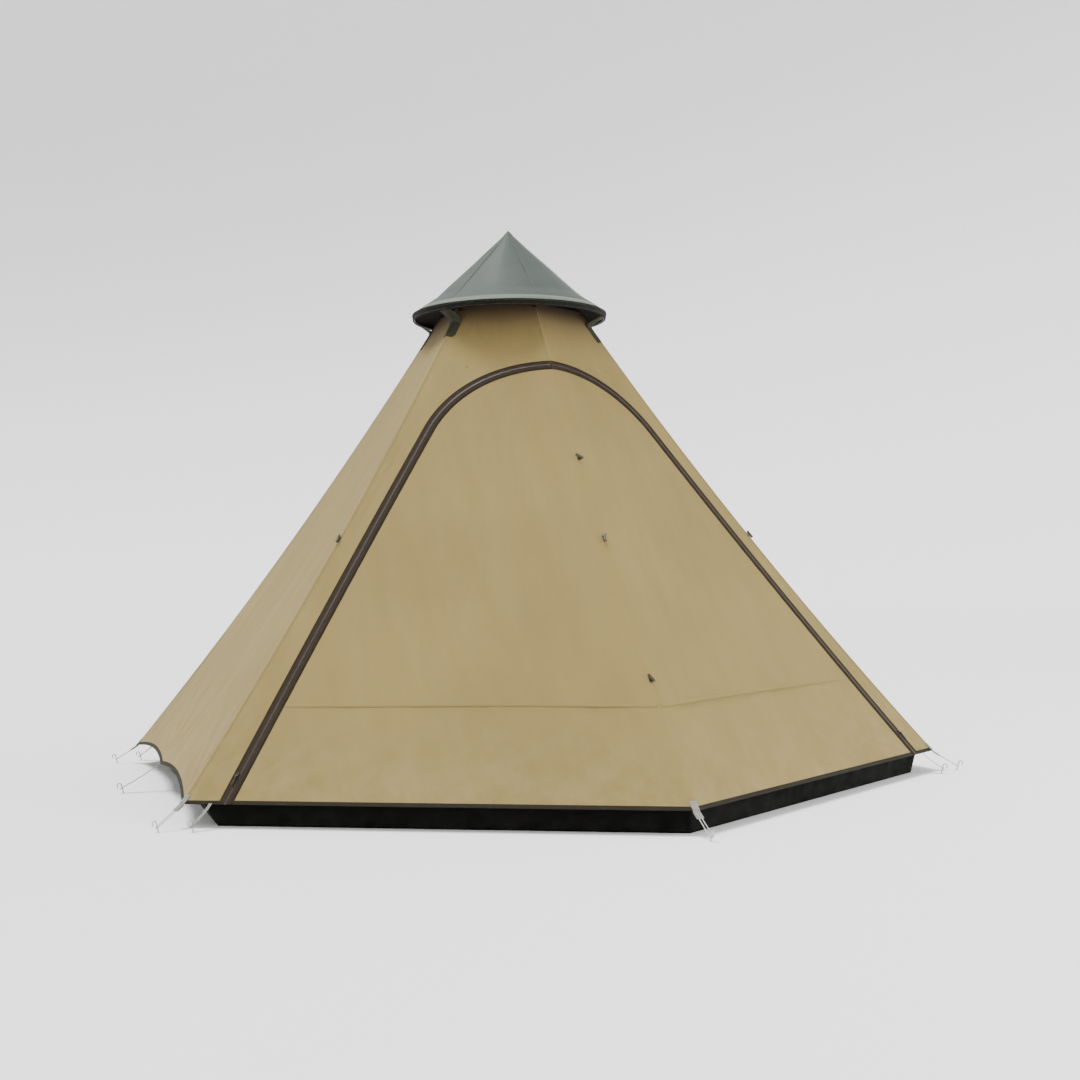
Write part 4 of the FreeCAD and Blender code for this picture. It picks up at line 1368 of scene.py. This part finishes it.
def make_cap_tabs():
    """Broad tabs up the corner ridges and out to the cap's rim."""
    straps = []
    lines = []
    low_r, knee_r = (ridge_r(z) + LAPPED_LIFT for z in (CAP_TAB_LOW_Z, CAP_TAB_KNEE_Z))
    for _, angle in CORNERS:
        out, across = ridge_axes(angle)
        corners = [
            beside_pole(out, *CAP_TAB_TOP),
            beside_pole(out, knee_r, CAP_TAB_KNEE_Z),
            beside_pole(out, low_r, CAP_TAB_LOW_Z),
        ]
        path = with_normals(rounded_path(corners, 0.003, 12), across)
        knee = int(len(path) * 0.5)
        rows = web_strap(path[:knee], across, CAP_TAB_W, CAP_TAB_T, (0.0, 0.88))
        rows += web_strap(path[knee:], across, CAP_TAB_W, CAP_TAB_T, (0.88, 0.96))
        straps.append(rows)
        lines += edge_stitches(path, across, CAP_TAB_W, 0.0015, knee + 2, len(path) - 1, 0.92)
    piece = web_piece("cap_tab_webs", straps, "olive", "cap")
    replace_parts(piece, "cap_tabs")
    stitches("cap_tab_thread", lines, "dark_thread", "cap", STRAP_PITCH)


# Straps to the side and zip-foot pegs. An eyelet ring sits in the sewn end of each.
PEG_LEAN = radians(15)
PEG_STRAP_W = 0.016
PEG_STRAP_T = 0.0016
EYELET_R = 0.005
EYE_Z = 0.022
EYE_END = 0.009
EYE_CORNER = 0.0106
EYE_LIP = 0.0009
SIDE_PEG_OUT = 0.15
FOOT_PEG_OUT = 0.078
FOOT_HEADING = 58
FOOT_SET = 0.016
START_OVER_HEM = 0.003


def peg_strap(start, base, out, across):
    """Webbing from the hem to a sewn eyelet round a peg's shaft: strap rows, eye rows and thread."""
    eye = base + (out * tan(PEG_LEAN) + UP) * EYE_Z
    along = (eye - start).normalized()
    normal = along.cross(across).normalized()
    if normal.z < 0:
        normal = -normal
    run = (eye - start).length
    path = []
    for i in range(31):
        share = i / 30
        sag = -0.0035 * sin(pi * share) + 0.0005 * sin(share * 23.0)
        path.append((start + along * ((run - EYE_END) * share) + normal * sag, normal))
    rows = web_strap(path, across, PEG_STRAP_W, PEG_STRAP_T, (0.0, 0.0))
    rim = []
    for k in range(33):
        turn = 2 * pi * k / 32
        c, s = cos(turn), sin(turn)
        reach = min(EYE_END / max(abs(c), 1e-6), PEG_STRAP_W / 2 / max(abs(s), 1e-6), EYE_CORNER)
        spoke = along * c + across * s
        inner, outer = eye + spoke * EYELET_R, eye + spoke * reach
        half = normal * PEG_STRAP_T / 2
        lip = spoke * EYE_LIP
        ring = [inner - half, inner + half * 1.9, inner + lip + half * 1.9, inner + lip * 1.8 + half]
        rim.append(ring + [outer + half * 0.9, outer - half * 0.9, inner - half])
    lines = edge_stitches(path, across, PEG_STRAP_W, PEG_STRAP_T, 1, 8)
    lines += edge_stitches(path, across, PEG_STRAP_W, PEG_STRAP_T, 22, 31)
    return rows, rim, lines


def make_peg_straps():
    side = []
    n = face_n(HEM_MID_Z)
    for angle in (90, 270):
        out, across = ridge_axes(angle)
        start = beside_pole(out, n + 0.0024, HEM_MID_Z + START_OVER_HEM)
        side.append(peg_strap(start, out * (n + SIDE_PEG_OUT), out, across))
    foot = []
    foot_x = (ARCH_R + TAPE_W + FOOT_SET) * LEG_NORM + (ARCH_Z - HEM_Z) * LEG_RUN
    foot_y = (face_n(HEM_Z) - foot_x * 0.5) / COS_HALF
    for heading in (FOOT_HEADING, 180 - FOOT_HEADING, 180 + FOOT_HEADING, 360 - FOOT_HEADING):
        out, across = ridge_axes(heading)
        x, y = copysign(foot_x, out.x), copysign(foot_y, out.y)
        start = Vector((x, y, HEM_Z + START_OVER_HEM)) + out * 0.004
        under_start = Vector((start.x, start.y, 0))
        foot.append(peg_strap(start, under_start + out * FOOT_PEG_OUT, out, across))
    for label, made in (("side_hem_straps", side), ("zip_foot_straps", foot)):
        piece = web_piece(label + "_webs", [rows for rows, _, _ in made], "strap", "root")
        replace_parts(piece, label)
        for k, (_, rim, _) in enumerate(made):
            strip("%s_eye_%d" % (label, k + 1), rim, "strap", "root", uv_width=0.012)
        lines = [line for _, _, pair in made for line in pair]
        stitches(label + "_thread", lines, "thread", "root", WEB_PITCH)


def seam_tapes():
    """Tape joining the tub's wall to the fly. It stops short of the doors."""
    wall_n, _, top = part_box("tub_wall")[1]
    low = top - 0.009
    half = wall_n * TAN_HALF
    beside = side_of(arch_half(top, TAPE_W + 0.004), top)
    for face in FACES:
        out, across = ridge_axes(face)
        first, last = -half, half
        if face in (30, 210):
            first = beside
        elif face in MIRRORED:
            last = -beside
        rows = []
        count = max(6, int((last - first) / 0.02))
        for i in range(count + 1):
            side = first + (last - first) * i / count
            lift = -0.0018 + 0.0006 * noise.noise(Vector((side * 30.0, face, 1.0)))
            on_wall = out * wall_n + across * side
            row = [on_wall + UP * low, on_face(face, side, low, lift)]
            row += [on_face(face, side, top, lift), on_wall + UP * top]
            rows.append(row + row[:1])
        tape = strip("tub_seam_tape_%d" % face, rows, "tub", "root", uv_width=0.03)
        if face == FACES[0]:
            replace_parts(tape, "tub_seam_tape")


def floor_patch():
    """Round patch sewn to the floor under the pole's foot."""
    (_, _, low), (radius, _, high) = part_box("floor_patch")
    profile = [(0.021, low), (0.021, high), (0.06, high - 0.0002), (0.1, high)]
    profile += [(radius - 0.012, high - 0.0001), (radius - 0.003, high - 0.0003)]
    profile += [(radius, low + 0.0002), (radius, low)]
    count = 120
    patch = turned_ring("floor_patch_disc", profile, "tub", "root", count)
    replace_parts(patch, "floor_patch")
    turns = [2 * pi * k / count for k in range(count + 1)]
    lines = []
    for r in (radius - 0.006, radius - 0.012):
        lines.append([(Vector((r * cos(t), r * sin(t), high)), UP) for t in turns])
    stitches("floor_patch_thread", lines, "dark_thread", "root")


def finish_cad_node(name, look):
    """Give a CAD node's own mesh its look, and UVs where it has none."""
    piece = bpy.data.objects[name]
    for item in piece.material_slots:
        item.material = LOOK[look]
    if not piece.material_slots:
        piece.data.materials.append(LOOK[look])
    if not piece.data.uv_layers:
        layer = piece.data.uv_layers.new(name="cloth")
        for loop in piece.data.loops:
            co = piece.data.vertices[loop.vertex_index].co
            layer.data[loop.index].uv = (hypot(co.x, co.y), co.z)


def finish_hardware():
    plan = {
        "pole": ["pole_section_%d" % number for number in (1, 2, 3, 4)],
        "rubber": ["pole_foot"],
        "plastic": ["pole_tip", "crown_hub", "cap_tip_cup"],
        "hoop": ["cap_hoop"],
        "toggle": ["ridge_toggles", "front_door_toggles", "back_door_toggles"],
        "peg": ["tent_pegs"],
    }
    plan["slider"] = [
        "%s_%s_%s" % (end, kind, side)
        for end in ("front", "back")
        for kind in ("slider", "slider_pull")
        for side in ("right", "left")
    ]
    for look, names in plan.items():
        for name in names:
            finish_cad_node(name, look)


def guy_loop(name, node, angle, body):
    """Cord tied to a corner tab: out to the peg, round its shaft and back."""
    length, dr, dz = tab_line()
    reach = length - TAB_LENGTH
    way_out = [(0.0, LOOP_R), (reach * 0.5, LOOP_R * 1.15), (reach - 0.014, LOOP_R), (reach + LOOP_R, LOOP_R)]
    route = []
    for along, side in [(along, -side) for along, side in way_out] + way_out[::-1]:
        s = TAB_LENGTH + along
        route.append(turned(angle, TAB_START[0] + dr * s, side, TAB_START[1] + dz * s))
    data = bpy.data.curves.new(name, "CURVE")
    data.dimensions = "3D"
    data.bevel_depth = CORD_R
    data.bevel_resolution = 3
    data.resolution_u = 12
    spline = data.splines.new("NURBS")
    spline.points.add(len(route) - 1)
    for item, point in zip(spline.points, route):
        item.co = (*point, 1)
    spline.order_u = 3
    spline.use_endpoint_u = True
    data.materials.append(LOOK["cord"])
    piece = link(name, data)
    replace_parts(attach(piece, body), node)


def make_cords():
    guy_loop("front_door_loop_cord", "front_door_guy_loop", 0, "front_door")
    guy_loop("back_door_loop_cord", "back_door_guy_loop", 180, "back_door")
    for label, angle in CORNERS:
        guy_loop("loop_cord_" + label, "guy_loop_" + label, angle, "root")


make_camera()
make_cords()
make_studio()
make_fly()
make_doors()
make_zips()
make_cap()
make_tub()
seam_tapes()
floor_patch()
make_tabs()
make_crown()
make_cap_tabs()
make_peg_straps()
finish_hardware()
